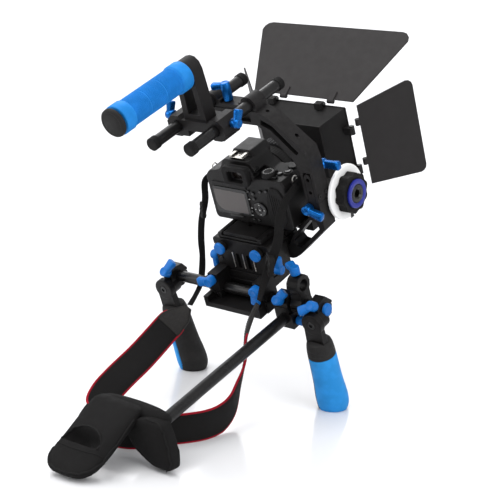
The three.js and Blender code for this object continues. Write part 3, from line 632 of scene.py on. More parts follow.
def bolt(name, seat, direction, r, body, h=1.6, mat="dark_steel", slot="black_metal"):
    """socket-head screw lying on a face, with a six-sided recess"""
    hexr = r * .5
    p = lathe([(0, -1.0), (r, -1.0), (r, h - .4), (r - .4, h), (hexr * 1.12, h), (hexr * 1.08, h - .15), (hexr, h - .2)], n=24)
    hx = lathe([(0, h - .9), (hexr, h - .9), (hexr, h - .15), (0, h - .15)][:3] + [(hexr * 1.02, h - .1), (hexr * 1.02, -.5), (0, -.5)], n=6)
    body_part = loft([[(r * math.cos(t), r * math.sin(t), -1.) for t in [2 * math.pi * i / 24 for i in range(24)]],
                      [(r * math.cos(t), r * math.sin(t), h - .35) for t in [2 * math.pi * i / 24 for i in range(24)]],
                      [((r - .35) * math.cos(t), (r - .35) * math.sin(t), h) for t in [2 * math.pi * i / 24 for i in range(24)]],
                      [(hexr * max(.9, 1) * math.cos(round(i / 4) * math.pi / 3) if i % 4 == 0 else hexr * math.cos(2 * math.pi * i / 24), hexr * math.sin(2 * math.pi * i / 24), h) for i in range(24)],
                      [(hexr * .98 * math.cos(2 * math.pi * i / 24), hexr * .98 * math.sin(2 * math.pi * i / 24), h - 1.1) for i in range(24)]])
    return put(name, place(body_part, seat, direction), mat, body, slot, angle=30)


# ---------------------------------------------------------------- floor and light
def stage_setup():
    me = bpy.data.meshes.new("floor")
    S, H = 9.0, 6.0
    v, f = [], []
    prof = [(-S, 0), (2.2, 0)] + [(2.2 + 1.6 * math.sin(t), 1.6 - 1.6 * math.cos(t)) for t in [math.pi / 2 * k / 12 for k in range(1, 13)]] + [(3.8, H)]
    d = Vector((-math.sin(math.radians(39.5)), math.cos(math.radians(39.5)), 0))
    s = Vector((d.y, -d.x, 0))
    for a, z in prof:
        for b in (-S, S):
            p = d * a + s * b
            v.append((p.x, p.y, z))
    for k in range(len(prof) - 1):
        f.append([2 * k, 2 * k + 1, 2 * k + 3, 2 * k + 2])
    me.from_pydata(v, [], f)
    me.polygons.foreach_set("use_smooth", [True] * len(me.polygons))
    ob = bpy.data.objects.new("floor", me)
    bpy.context.scene.collection.objects.link(ob)
    w = NM("pale_floor", rough=.16, spec=.4)
    w.color(w.mix(w.noise(3, 3), (.76, .76, .77), (.79, .79, .80)))
    me.materials.append(w.m)
    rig.stage(ob)
    world = bpy.data.worlds.new("studio")
    bpy.context.scene.world = world
    world.use_nodes = True
    bg = world.node_tree.nodes["Background"]
    bg.inputs[0].default_value = (.97, .98, 1, 1)
    bg.inputs[1].default_value = .78

    def area(name, loc, target, size, power, color=(1, 1, 1)):
        ld = bpy.data.lights.new(name, "AREA")
        ld.shape = "RECTANGLE"
        ld.size, ld.size_y = size
        ld.energy = power
        ld.color = color
        lo = bpy.data.objects.new(name, ld)
        bpy.context.scene.collection.objects.link(lo)
        lo.location = loc
        lo.rotation_euler = (Vector(target) - Vector(loc)).to_track_quat("-Z", "Y").to_euler()
    area("key_above", (-.5, -.5, 2.4), (0, 0, .2), (2.4, 2.0), 42)
    area("fill_left", (-1.9, -1.5, 1.1), (0, 0, .25), (1.6, 1.6), 22)
    area("fill_right", (2.2, -.2, 1.4), (0, 0, .25), (1.4, 1.8), 22)
    area("back_wash", (-1.4, 2.2, 1.8), (-.6, 1.4, 0), (2.4, 1.6), 34)
    bpy.context.scene.view_settings.view_transform = "Standard"
    bpy.context.scene.view_settings.look = "None"


stage_setup()


# ================================================================ neck strap
STRAP_LEFT = [[-63.8, 11, 151, 0.1, 0.95, 0, 9], [-67, 9, 146, 0.2, 0.9, 0, 9], [-73, 6, 136, 0.6, 0.8, 0, 9], [-75, 8, 110, 0.77, 0.64, 0, 9], [-85, 12, 80, 0.77, 0.64, 0, 9], [-89, 15, 52, 0.77, 0.64, 0, 9],
  [-88, 16, 30, 0.3, 0.95, 0, 9], [-88, 15, 8, 0.77, 0.64, 0, 9], [-85, 8, -9, 0.95, 0.2, 0, 8], [-82, -6, -21, 0.95, 0, 0, 8], [-81, -18, -31, 0.95, 0, 0, 9]]
STRAP_WIDE = [[-81, -22, -34, -0.85, -0.2, 0.3, 12], [-82, -36, -42, -0.75, -0.3, 0.5, 30], [-84, -52, -49, -0.67, -0.32, 0.67, 38], [-79, -90, -64, -0.67, -0.32, 0.67, 38], [-72, -125, -75, -0.67, -0.32, 0.67, 38], [-64, -172, -88, -0.67, -0.32, 0.67, 38],
  [-59, -202, -99, -0.6, -0.3, 0.7, 38], [-50, -226, -111, -0.45, -0.2, 0.85, 38], [-34, -240, -119, -0.15, 0, 0.95, 38], [-10, -246, -120.7, 0, 0, 1, 38], [16, -240, -120.7, 0, 0, 1, 38], [34, -222, -120.7, 0, 0, 1, 38],
  [46, -200, -120.7, 0, 0, 1, 38], [60, -180, -120.7, 0, 0, 1, 38], [70, -158, -120.7, 0, 0, 1, 38], [73, -134, -119, 0, -0.2, 0.95, 38], [69, -108, -111, 0.2, -0.5, 0.8, 38], [61, -86, -93, 0.45, -0.7, 0.4, 38],
  [55, -66, -66, 0.6, -0.75, 0, 38], [49, -57, -38, 0.6, -0.75, 0, 30], [54, -50, -10, 0.7, -0.6, 0, 14], [60, -47.5, 4, 0.75, -0.4, 0, 9]]
STRAP_RIGHT = [[61.5, -46.5, 9, 0.75, -0.2, 0, 8], [65, -44, 25, 0.77, 0.2, 0, 9], [70, -42, 42, 0.77, 0.5, 0, 11], [75, -40, 58, 0.77, 0.64, 0, 12], [83, -36, 88, 0.77, 0.64, 0, 12], [81, -30, 114, 0.77, 0.64, 0, 11],
  [79, -17, 133, 0.6, 0.8, 0, 9], [78.4, -2, 144, 0.3, 0.95, 0, 9], [77.4, 9, 150.5, 0.1, 0.95, 0, 9]]


def catmull(P, u):
    """point on a centripetal curve through P at 0..1, open ended"""
    n = len(P)
    p = (n - 1) * u
    k = min(int(p), n - 2)
    t = p - k
    p1, p2 = P[k], P[k + 1]
    p0 = P[k - 1] if k > 0 else P[0] * 2 - P[1]
    p3 = P[k + 2] if k + 2 < n else P[-1] * 2 - P[-2]
    d0, d1, d2 = (max((b - a).length_squared ** .25, 1e-4) for a, b in ((p0, p1), (p1, p2), (p2, p3)))
    t1 = ((p1 - p0) / d0 - (p2 - p0) / (d0 + d1) + (p2 - p1) / d1) * d1
    t2 = ((p2 - p1) / d1 - (p3 - p1) / (d1 + d2) + (p3 - p2) / d2) * d1
    return p1 + t1 * t + (-3 * p1 + 3 * p2 - 2 * t1 - t2) * t * t + (2 * p1 - 2 * p2 + t1 + t2) * t ** 3


def strap_frames(rows, per=8, k0=0., k1=None):
    """centre, across, normal and width along the strap, between rows k0 and k1"""
    P = [Vector(r[:3]) for r in rows]
    n = len(rows) - 1
    k1 = n if k1 is None else k1
    steps = max(2, round((k1 - k0) * per))
    out = []
    for i in range(steps + 1):
        u = (k0 + (k1 - k0) * i / steps) / n
        k = min(n - 1, int(u * n))
        f = u * n - k
        c = catmull(P, u)
        T = (catmull(P, min(1, u + 1e-4)) - catmull(P, max(0, u - 1e-4))).normalized()
        a, b = rows[k], rows[k + 1]
        W = Vector(a[3:6]) * (1 - f) + Vector(b[3:6]) * f
        W = (W - T * W.dot(T)).normalized()
        N = T.cross(W).normalized()
        out.append((c, W, N, a[6] + (b[6] - a[6]) * f))
    return out


def strap_mesh(fr, thick, inset=0., crown=.25, grow=0.):
    """flat strap with rounded selvedges; returns the part and a uv in metres"""
    rings, uv, s = [], [], 0
    h = thick / 2 + grow
    for i, (c, W, N, w) in enumerate(fr):
        if i:
            s += (c - fr[i - 1][0]).length
        hw = w / 2 - inset
        sec = [(-hw, 0), (-hw + h * .35, -h * .8), (-hw + h, -h), (-hw * .4, -h - crown * h), (hw * .4, -h - crown * h), (hw - h, -h), (hw - h * .35, -h * .8),
               (hw, 0), (hw - h * .35, h * .8), (hw - h, h), (hw * .4, h + crown * h), (-hw * .4, h + crown * h), (-hw + h, h), (-hw + h * .35, h * .8)]
        rings.append([tuple(c + W * p + N * q) for p, q in sec])
        uv += [(p / 1000, s / 1000) for p, q in sec]
    return loft(rings), uv, s


def length_of(pts):
    return sum((Vector(b) - Vector(a)).length for a, b in zip(pts, pts[1:]))


fl = strap_frames(STRAP_LEFT, 8)
part, uv, L_left = strap_mesh(fl, 1.7)
web_l = put("strap_webbing_left", part, "webbing", "frame", "webbing", space=REST, uv=uv, repl="strap_left", angle=60)
fr_ = strap_frames(STRAP_RIGHT, 8)
part, uv, L_right = strap_mesh(fr_, 1.7)
web_r = put("strap_webbing_right", part, "webbing", "frame", "webbing", space=REST, uv=uv, repl="strap_right", angle=60)
fw = strap_frames(STRAP_WIDE, 8, 1.6, 19.2)
part, uv, L_band = strap_mesh(fw, 2.6, inset=1.0)
band = put("strap_band_woven", part, "band", "frame", "black_nylon", space=REST, uv=uv, repl="strap_band", angle=60)
for side, sg in (("a", -1), ("b", 1)):
    path = [tuple(c + W * sg * (w / 2 - .9)) for c, W, N, w in fw]
    put("strap_piping_" + side, tube(path, 1.5, 8), "piping", "frame", "black_nylon", space=REST, angle=70)
# stitched lines on the band just inside the piping, on both faces
st = []
for sg in (-1, 1):
    for face in (-1, 1):
        line = [c + W * sg * (w / 2 - 4.2) + N * face * 1.62 for c, W, N, w in fw]
        for i in range(0, len(line) - 1):
            a, b = line[i], line[i + 1]
            m = max(1, round((b - a).length / 3.2))
            for k in range(m):
                p, q = a.lerp(b, (k + .15) / m), a.lerp(b, (k + .8) / m)
                st.append(tube([p, q], .22, 4))
put("strap_stitching", merge(*st), "binding", "frame", "black_nylon", space=REST)
# leather ends that join the band to the webbing
ends = []
for nm, k0, k1 in (("left", 0., 2.25), ("right", 18.6, 21.)):
    fe = strap_frames(STRAP_WIDE, 10, k0, k1)
    part, uv, _ = strap_mesh(fe, 3.2, grow=.25)
    ends.append(put("strap_end_" + nm, part, "strap_leather", "frame", "black_nylon", space=REST, uv=uv, angle=60))
    st = []
    for sg in (-1, 1):
        line = [c + W * sg * (w / 2 - 2.2) - N * 2.2 for c, W, N, w in fe]
        for a, b in zip(line, line[1:]):
            m = max(1, round((b - a).length / 2.6))
            for k in range(m):
                st.append(tube([a.lerp(b, (k + .15) / m), a.lerp(b, (k + .75) / m)], .25, 4))
    put("strap_end_stitches_" + nm, merge(*st), "binding", "frame", "black_nylon", space=REST)


def slider(name, centre, size, rot, mat="black_rubber"):
    """moulded strap adjuster: rounded block with three raised bars across it"""
    sx, sy, sz = size
    parts = [prism("y", rrect(-sx / 2, sx / 2, -sz / 2, sz / 2, 1.6, 4), -sy / 2, sy / 2)]
    m = Matrix.Translation(Vector(centre))
    for a, ang in rot:
        m = m @ Matrix.Rotation(ang, 4, a)
    for z in (-sz * .32, 0, sz * .32):
        parts.append(box(-sx / 2 + 1, sx / 2 - 1, -sy / 2 - .7, sy / 2 + .7, z - 1.3, z + 1.3))
    return put(name, moved(merge(*parts), m), mat, "frame", "webbing", bevel=.5, space=REST)


sl_l = slider("strap_slider_left", (-80.5, 9.7, 95), (13, 5.4, 21), [("Z", -.55)])
sl_r = slider("strap_slider_right", (74, -40.5, 57), (20, 6.2, 26), [("Z", -.64), ("Y", .2)])
PATH_L = [tuple(REST @ c) for c, W, N, w in fl]
PATH_R = [tuple(REST @ c) for c, W, N, w in fr_]
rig.cord(web_l, exit=PATH_L[0], length=round(L_left / 1000, 4), diameter=.010, far_end="fitting", stiffness="limp", lay="hanging", path=PATH_L, with_pieces=[sl_l, ends[0]])
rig.cord(web_r, exit=PATH_R[-1], length=round(L_right / 1000, 4), diameter=.010, far_end="fitting", stiffness="limp", lay="hanging", path=PATH_R[::-1], with_pieces=[sl_r, ends[1]])
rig.sheet(band, flat=(.0355, round(L_band / 1000, 4)), held="laid", rests_on=["shoulder_pad"], with_pieces=["strap_piping_a", "strap_piping_b", "strap_stitching"])


# ================================================================ rods
def rod_prof(a0, a1, r=7.5, ch=.7):
    return [(0, a0), (r - ch, a0), (r, a0 + ch), (r, a1 - ch), (r - ch, a1), (0, a1)]


put("cross_rod", merge(lathe(rod_prof(-131, 131), "x"), lathe([(0, -135), (7.6, -135), (8.3, -134.3), (8.3, -131.4), (7.9, -130.9), (0, -130.9)], "x")), "rod", "frame", "black_metal", repl="transverse_rod")
put("cross_rod_cap_right", lathe([(0, 131.3), (7.7, 131.3), (8.3, 131.9), (8.2, 134.6), (7.6, 135.6), (6.2, 136), (5.6, 135.5), (0, 135.6)], "x"), "blue_plastic", "frame", "blue_plastic", repl="rod_cap_right")
for n, sx in (("left", -1), ("right", 1)):
    put("rail_tube_" + n, lathe([(0, 6), (7, 6), (7.5, 6.6), (7.5, 239.4), (7, 240), (5.9, 240), (5.6, 239.6), (5.6, 231), (0, 231)], "y", (sx * 30, 57)), "rod", "frame", "black_metal", repl="rail_" + n)
    put("rail_end_plug_" + n, lathe([(0, 1.2), (5.5, 1.1), (6.2, 1.0), (7.7, 1.6), (8.2, 2.6), (8.2, 5.2), (7.7, 5.7), (0, 5.7)], "y", (sx * 30, 57)), "blue_plastic", "frame", "blue_plastic", repl="rail_cap_" + n)
    z = 244.6
    ribs = []
    for e0, e1 in ((-60, -50), (114, 124)):
        k = 5
        pr = [(0, e0), (6.4, e0), (6.9, e0 + .35), (7.9, e0 + .1), (8.6, e0 + .9)]
        for i in range(k):
            y = e0 + 1.6 + i * (e1 - e0 - 2.6) / k
            pr += [(8.6, y), (8.35, y + .35), (8.35, y + .75), (8.6, y + 1.1)]
        pr += [(8.6, e1 - .8), (8.0, e1), (0, e1)]
        ribs.append(lathe(pr, "y", (sx * 30, z)))
    put("top_rod_tube_" + n, lathe(rod_prof(-51, 115), "y", (sx * 30, z)), "rod", "frame", "black_metal", repl="top_rod_" + n)
    put("top_rod_ends_" + n, merge(*ribs), "black_rubber", "frame", "black_metal")

# ================================================================ carried-over metalwork
for node in ("cross_clamp", "riser_block", "quick_release_base", "camera_plate", "focus_gearbox", "matte_bracket", "handle_clamp_left", "handle_clamp_right", "accessory_clamp", "shoulder_clamp"):
    cad(node, "black", bevel=.7)
for node in ("c_arm_upper", "c_arm_lower", "handle_bridge"):
    cad(node, "charcoal", bevel=.9)
cad("matte_hood", "hood", bevel=.6)
# the top flag takes the lighter charcoal as painted light from above; the side flags take the darker copy as painted
# shade
for node in ("flag_top",):
    cad(node, "flag", bevel=.35)
for node in ("flag_right", "flag_left"):
    cad(node, "flag_painted_shade", bevel=.35)
cad("focus_knob", "black_rubber", bevel=.9, seg=3)
cad("eyecup", "black_rubber", bevel=1.6, seg=3)
cad("drive_gear", "acetal", bevel=.2)
cad("focus_ring", "acetal", bevel=.2)


# ================================================================ thumb screws and levers
def wing(length, hub, pad, w, rise=0., style="plastic"):
    """round hub with one scooped ear; the ear swells towards its end and is rounded all over"""
    top = 12.4 + rise
    hubp = lathe([(0, .6), (hub - .8, .6), (hub, 1.3), (hub + .1, top * .55), (hub - .1, top - 1.4), (hub - .7, top - .4), (hub - 1.8, top), (hub - 2.6, top - .3), (0, top - .5)], n=36)
    rings, m = [], 20
    zc, hz = 7.75 + rise, 4.1
    for t, kw, kz in ((.02, .95, .9), (.25, .98, .92), (.42, 1.0, .95), (.6, 1.06, 1.), (.78, 1.12, 1.04), (.9, 1.13, 1.04), (.955, 1.08, 1.), (.985, .96, .9), (1., .8, .74)):
        x = pad * t
        ring = []
        for i in range(m):
            a = 2 * math.pi * i / m
            ca, sa = math.cos(a), math.sin(a)
            e = .5
            ring.append((x, w * kw * math.copysign(abs(ca) ** e, ca), zc + hz * kz * math.copysign(abs(sa) ** e, sa)))
        rings.append(ring)
    ear = loft(rings)
    shank = []
    z = 1.0
    prof = [(0, 1.2), (2.45, 1.2)]
    while z > -length + .6:
        prof += [(2.45, z), (2.1, z - .25), (2.45, z - .5)]
        z -= .8
    prof += [(1.9, -length), (0, -length)]
    return merge(hubp, ear), lathe(prof[::-1], n=20)


def screw(node, seat, direction, roll, mat, slot, body, *w, **k):
    top, shank = wing(*w, **k)
    put(node + "_knob", place(top, seat, direction, roll), mat, body, slot, repl=node, angle=48)
    put(node + "_thread", place(shank, seat, direction, roll), "dark_steel", body, "black_metal", angle=30)


BL = ("blue_plastic", "blue_plastic")
AN = ("anod_blue", "blue_anodised")
screw("cross_screw_left", (-38, -14.3, 20), (0, -1, 0), 190, *BL, "cross_screw_l", 12, 7, 19, 5.5)
screw("cross_screw_right", (38, -14.3, 20), (0, -1, 0), 265, *BL, "cross_screw_r", 12, 7, 19, 5.5)
screw("riser_screw_left", (-46.3, 17, 36), (-1, 0, 0), 180, *BL, "riser_screw_l", 10, 6.5, 18, 5)
screw("riser_screw_right", (46.3, 17, 33), (1, 0, 0), 180, *BL, "riser_screw_r", 10, 6.5, 18, 5)
screw("focus_clamp_screw", (56.3, 106, 72), (1, 0, 0), 30, *BL, "focus_screw", 8, 6.5, 18, 5)
for n, sx, roll in (("left", -121, 59), ("right", 126, 213)):
    screw("clamp_screw_" + n, (sx, -12.9, 11.1), (0, -.76, .65), roll, *BL, "clamp_screw_" + n[0], 5, 6.5, 19, 5.5)
screw("accessory_screw", (93.5, 2, 43.3), (0, 0, 1), 150, *BL, "accessory_knob", 5.5, 6.5, 17, 5.5)
screw("shoulder_screw_upper", (71, -12.6, 8), (0, -.8, .6), 55, *BL, "shoulder_screw_u", 3, 6.5, 15.5, 5.5)
screw("shoulder_screw_lower", (84.4, -4, -24), (1, 0, 0), 60, *BL, "shoulder_screw_d", 3.5, 6.5, 19, 5.5)
screw("arm_lever_lower", (95, 55.7, 111), (0, -1, 0), -18, *AN, "arm_lever_lo", 10, 6.5, 24, 5.2)
screw("arm_lever_upper", (102, 80.3, 157), (0, 1, 0), 0, *AN, "arm_lever_up", 9, 6.5, 26, 5.2)
screw("top_clamp_lever", (-8, 66, 244.3), (0, 0, 1), 200, *AN, "top_lever", 5.5, 6.2, 18, 5, rise=13)
screw("bridge_lever_left", (-46.4, 6, 250), (-1, 0, 0), 25, *AN, "bridge_lever_l", 5.5, 6.2, 17, 5)
screw("bridge_lever_right", (46.4, 6, 250), (1, 0, 0), 150, *AN, "bridge_lever_r", 5.5, 6.2, 17, 5)

# ================================================================ top handle
Y0, GZ = -13, 316
prof = [(8.4, -115.5 + Y0), (17.2, -115.5 + Y0), (18.2, -115 + Y0), (18.6, -114 + Y0), (18.6, -100.5 + Y0), (18.3, -99.8 + Y0), (17.3, -99.3 + Y0), (17.0, -98.6 + Y0)]
y = -98.2
breaks = (-71, -43)
while y < -13.6:
    deep = any(abs(y - b) < 1.1 for b in breaks)
    a, b = (16.5, 16.9) if deep else (16.72, 17.3)
    prof += [(b, y + Y0), (b, y + .55 + Y0), (a, y + .8 + Y0), (a, y + 1.2 + Y0)]
    y += 1.5
prof += [(17.0, -12.6 + Y0), (17.3, -12.1 + Y0), (18.3, -11.6 + Y0), (18.6, -11 + Y0), (18.6, 3 + Y0), (18.2, 4 + Y0), (17.2, 4.5 + Y0), (8.4, 4.5 + Y0)]


def finned(prof, n, fins, depth, lo, hi, c):
    """a lathe about Y whose surface between lo and hi also carries fine lengthwise fins"""
    v, f = lathe(prof, "y", c, n)
    out = []
    for x, yy, z in v:
        r = math.hypot(x - c[0], z - c[1])
        if lo < yy < hi and r > 16:
            t = math.atan2(z - c[1], x - c[0])
            k = 1 - depth / r * (.5 - .5 * math.cos(fins * t))
            x, z = c[0] + (x - c[0]) * k, c[1] + (z - c[1]) * k
        out.append((x, yy, z))
    return out, f


put("top_grip_rubber", finned(prof, 288, 72, .35, -98 + Y0, -13 + Y0, (0, GZ)), "grip_blue", "top_handle", "blue_rubber", repl="top_grip", angle=50)
put("top_grip_end_cap", lathe([(0, -123.5 + Y0), (12.5, -123.5 + Y0), (13.2, -123.1 + Y0), (14.2, -123.5 + Y0), (16.4, -122.9 + Y0), (17.6, -121.6 + Y0), (18.0, -119.2 + Y0), (17.6, -118.3 + Y0), (0, -118.3 + Y0)], "y", (0, GZ), 72), "grey_rubber", "top_handle", "black_metal", repl="top_grip_cap", angle=40)
for sx in (-1, 1):
    bolt("bridge_bolt_" + ("l" if sx < 0 else "r"), (sx * 25, 6, 254), (0, 0, 1), 2.6, "top_handle")

# ================================================================ hand grips
for n, sx, face in (("left", -1, 183.), ("right", 1, -40.)):
    X, yC = sx * 125, -19
    lean = Matrix.Identity(4)
    if sx < 0:
        lean = Matrix.Translation((X, 0, -9)) @ Matrix.Rotation(math.radians(-4), 4, "Y") @ Matrix.Translation((-X, 0, 9))
    key = [(-152, .1), (-150.5, 8), (-147, 13.6), (-143, 17.2), (-136, 20.0), (-125, 20.8), (-112, 20.2), (-100, 19.2), (-80, 18.5), (-60, 18.2), (-50, 18.0), (-44, 17.4), (-39, 16.4), (-36, 15), (-34, .1)]
    P = [Vector((z, r, 0)) for z, r in key]
    dense = [catmull(P, i / 140) for i in range(141)]
    fc = math.radians(face)
    half = math.radians(84)

    def inset(t, z, off=0.):
        """how far inside the blue panel's outline a point is, in mm"""
        da = (t - fc + math.pi) % (2 * math.pi) - math.pi
        u = abs(da) * 19
        zt, zb = -57.5, -146
        w = half * 19
        # straight top edge, rounded lower end
        d = min(w - u, zt - z)
        rr = 24
        if z < zb + rr:
            q = math.hypot(max(0, u - (w - rr)), zb + rr - z)
            d = min(d, rr - q)
        return d - off
    v, f = [], []
    N = 96
    rings = []
    for p in dense:
        z, r = p.x, p.y
        ring = []
        for i in range(N):
            t = 2 * math.pi * i / N
            rr = r
            if r > 3 and inset(t, z) > 0:
                rr = r - .9
            if -57 < z < -44:  # three moulded rings round the collar
                rr -= .35 * (.5 - .5 * math.cos((z + 44) / 3.2 * 2 * math.pi)) if z > -54 else 0
            ring.append((X + rr * math.cos(t), yC + rr * math.sin(t), z))
        rings.append(ring)
    body_part = moved(loft(rings), lean)

    def floor_clamp(part):
        m = RIG
        inv = RIG.inverted()
        out = []
        for p in part[0]:
            q = m @ Vector(p)
            if q.z < .0002:
                q.z = .0002
            out.append(tuple(inv @ q))
        return out, part[1]
    headp = merge(lathe([(5.4, -26.9), (14.0, -26.9), (15, -26), (15, -18), (14.2, -17.1), (5.4, -17.1)], "y", (X, -9), 48), lathe([(0, -23), (5.5, -23), (5.5, -17.5), (0, -17.5)], "y", (X, -9), 6),
                  prism("y", [(X - 12.4, -12), (X + 12.4, -12), (X + 13.8, -37), (X - 13.8, -37)], -26.6, -17.3))
    put("hand_grip_" + n, floor_clamp(body_part), "grey_rubber", "grip_" + n[0], "grey_rubber", repl="handle_" + n, angle=40)
    put("hand_grip_head_" + n, moved(headp, lean), "black", "grip_" + n[0], "black_metal", bevel=.8)
    put("hand_grip_bolt_" + n, moved(merge(lathe([(0, -25.8), (2.6, -25.8), (2.7, -27.3), (4.8, -27.3), (5.2, -26.8), (5.2, -22), (0, -22)], "y", (X, -9), 30)), lean), "dark_steel", "grip_" + n[0], "black_metal")
    # blue palm panel: a patch whose rim rolls down into the grip
    NZ, NT = 120, 90
    grid, idx = [], {}
    vv, ff = [], []
    for a in range(NZ + 1):
        z = -56.5 - (148.5 - 56.5) * a / NZ
        r = next((dense[k].y + (dense[k + 1].y - dense[k].y) * (z - dense[k].x) / (dense[k + 1].x - dense[k].x) for k in range(140) if min(dense[k].x, dense[k + 1].x) <= z <= max(dense[k].x, dense[k + 1].x)), 0)
        for b in range(NT + 1):
            t = fc - half * 1.03 + 2 * half * 1.03 * b / NT
            d = inset(t, z)
            if d > -.6:
                lift = .35 if d > 1.6 else .35 - 1.5 * ((1.6 - d) / 2.2) ** 2
                idx[a, b] = len(vv)
                vv.append((X + (r + lift) * math.cos(t), yC + (r + lift) * math.sin(t), z))
    for a in range(NZ):
        for b in range(NT):
            q = [idx.get(k) for k in ((a, b), (a, b + 1), (a + 1, b + 1), (a + 1, b))]
            if None not in q:
                ff.append(q)
    ob = put("palm_panel_" + n, floor_clamp(moved((vv, ff), lean)), "panel_blue", "grip_" + n[0], "blue_rubber", repl="grip_panel_" + n, angle=60)
    s = ob.modifiers.new("thickness", "SOLIDIFY")
    s.thickness = .0014
    s.offset = -1

# ================================================================ follow focus
FY, FZ = 106, 108
put("marking_disc_face", lathe([(5.4, 112), (35.4, 112), (36, 112.5), (36, 114.6), (35.4, 115.6), (34.6, 116.1), (33.4, 116.3), (27.5, 116.3), (27.3, 116.1), (5.4, 116.1)], "x", (FY, FZ), 96), "disc_white", "focus_wheel", "white_plastic", repl="marking_disc")
ringp = lathe([(12.4, 129.6), (18.2, 129.6), (18.7, 130.2), (18.7, 132.2), (18.1, 132.9), (16.9, 133.05), (13.6, 133.05), (12.8, 132.7), (12.4, 132.2)], "x", (FY, FZ), 64)
put("knob_hub_face", lathe([(5.2, 129.4), (12.2, 129.4), (12.2, 131.9), (11.4, 132.7), (7.2, 133.0), (6.4, 132.4), (5.2, 131.6)], "x", (FY, FZ), 64), "gloss_black", "focus_wheel", "black_metal")
put("knob_face_ring", ringp, "ring_blue", "focus_wheel", "black_metal")
ptr = prism("x", [(FY - 34, FZ - 30), (FY - 26, FZ - 36.5), (FY - 33, FZ - 38.5), (FY - 38, FZ - 34)], 112.4, 116)
put("index_pointer", prism("x", [(FY - 3.4, FZ - 37), (FY + 3.4, FZ - 37), (FY + 1.2, FZ - 29), (FY - 1.2, FZ - 29)], 116.4, 117.4), "gloss_black", "focus_wheel", "black_metal", bevel=.2)

# ================================================================ stills camera
FR = "frame"


def remeshed(name, node, voxel, smooth, mat, slot):
    src = NODES[node]
    me = src.data.copy()
    me.name = name
    ob = bpy.data.objects.new(name, me)
    bpy.context.scene.collection.objects.link(ob)
    for nme in ("sharp_edge", "sharp_face", "custom_normal"):
        if nme in me.attributes:
            me.attributes.remove(me.attributes[nme])
    bm = bmesh.new()
    bm.from_mesh(me)
    bmesh.ops.remove_doubles(bm, verts=bm.verts, dist=1e-5)
    bm.to_mesh(me)
    bm.free()
    r = ob.modifiers.new("voxel", "REMESH")
    r.mode = "VOXEL"
    r.voxel_size = voxel
    r.use_smooth_shade = True
    s = ob.modifiers.new("round", "SMOOTH")
    s.factor = .5
    s.iterations = smooth
    dg = bpy.context.evaluated_depsgraph_get()
    new = bpy.data.meshes.new_from_object(ob.evaluated_get(dg))
    ob.modifiers.clear()
    ob.data = new
    new.materials.clear()
    new.materials.append(M[mat])
    new.polygons.foreach_set("use_smooth", [True] * len(new.polygons))
    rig.ride(ob, src["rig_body"])
    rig.slot(ob, slot)
    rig.replaces(ob, node)
    return ob


remeshed("camera_shell", "camera_body", .0010, 9, "body", "black_plastic")
# rear screen on its bezel
put("screen_bezel", prism("y", rrect(-51, 7, 89.5, 129, 4, 6), 40.0, 43), "gloss_black", FR, "black_plastic", bevel=.6)
lcd = [(3.0, 94.0), (3.0, 124.4)] + [(-48.6, 125.2)] + [(-52.6 + 0 * k, 0) for k in range(0)]
lcd += [(-49.4, 108.5)] + [(-49.4 + 14.5 * (1 - math.cos(t)), 108.5 - 14.5 * math.sin(t)) for t in [math.pi / 2 * k / 10 for k in range(1, 11)]]
put("screen_glass", prism("y", lcd, 39.75, 40.4), "screen", FR, "black_plastic", bevel=.15)
# back controls
ctl, marks = [], []
for x, z, r in ((17, 118.6, 2.3), (17, 126.4, 2.5), (9.6, 99.2, 2.0), (9.0, 86.2, 2.0), (17.2, 86.2, 2.3), (10.4, 128.8, 1.8), (30, 131, 2.4), (40, 133, 2.4)):
    ctl.append(lathe([(0, 39.7), (r - .5, 39.8), (r, 40.3), (r, 43), (0, 43)], "y", (x, z), 24))
ctl.append(lathe([(0, 39.5), (3.4, 39.5), (3.8, 39.9), (3.9, 40.6), (4.6, 40.6), (4.9, 39.9), (9.2, 39.6), (10.2, 40.2), (10.4, 41), (10.4, 43), (0, 43)], "y", (23.8, 104), 48))
put("back_controls", merge(*ctl), "gloss_black", FR, "black_plastic", angle=35)
for x, z in ((8.9, 127.6), (8.4, 116.6), (9.4, 103.8)):
    marks.append(box(x - 1.1, x + 1.1, 40.9, 41.8, z - .5, z + .5))
marks.append(box(7.6, 10.4, 39.6, 40, 93.5, 94.2))
marks.append(box(22.8, 24.8, 39.35, 39.7, 103.2, 104.6))
for a in range(4):
    marks.append(box(23.8 + 7 * math.cos(a * math.pi / 2) - .6, 23.8 + 7 * math.cos(a * math.pi / 2) + .6, 39.4, 39.8, 104 + 7 * math.sin(a * math.pi / 2) - .5, 104 + 7 * math.sin(a * math.pi / 2) + .5))
put("control_marks", merge(*marks), "white_mark", FR, "white_plastic")
# thumb rest with ribbed rubber, right of the controls
thumb = [(38, 84), (60, 84), (65, 92), (66, 128), (60, 138), (48, 140), (40, 130), (36, 112)]
put("thumb_rest", prism("y", thumb, 40.2, 43), "body_grip", FR, "black_plastic", bevel=1.4, seg=3)
put("thumb_ridges", merge(*[box(44 + i * 3.4, 45.6 + i * 3.4, 39.7, 42, 98, 132 - i * 2) for i in range(6)]), "body_grip", FR, "black_plastic", bevel=.5)
put("front_grip_skin", prism("z", [(38, 82), (69, 80), (71.4, 86), (67, 92.2), (48, 92.4), (39, 88)], 82, 146), "body_grip", FR, "black_plastic", bevel=1.6, seg=3)
# screen hinge lip and shade above the screen
put("screen_lip", prism("y", [(-52, 130), (8, 130), (6, 135), (-50, 136)], 40.6, 43), "body", FR, "black_plastic", bevel=.8)
put("screen_hinge_tab", box(-30, -8, 39.6, 43, 86.5, 89.2), "dark_steel", FR, "black_metal", bevel=.5)
# finder window
put("finder_glass_pane", prism("y", rrect(-7, 15, 148, 161, 2, 4), 38.8, 40.2), "glass", FR, "glass" if "glass" in [m.get("slot") for m in frame["record"]["materials"]] else "black_plastic")
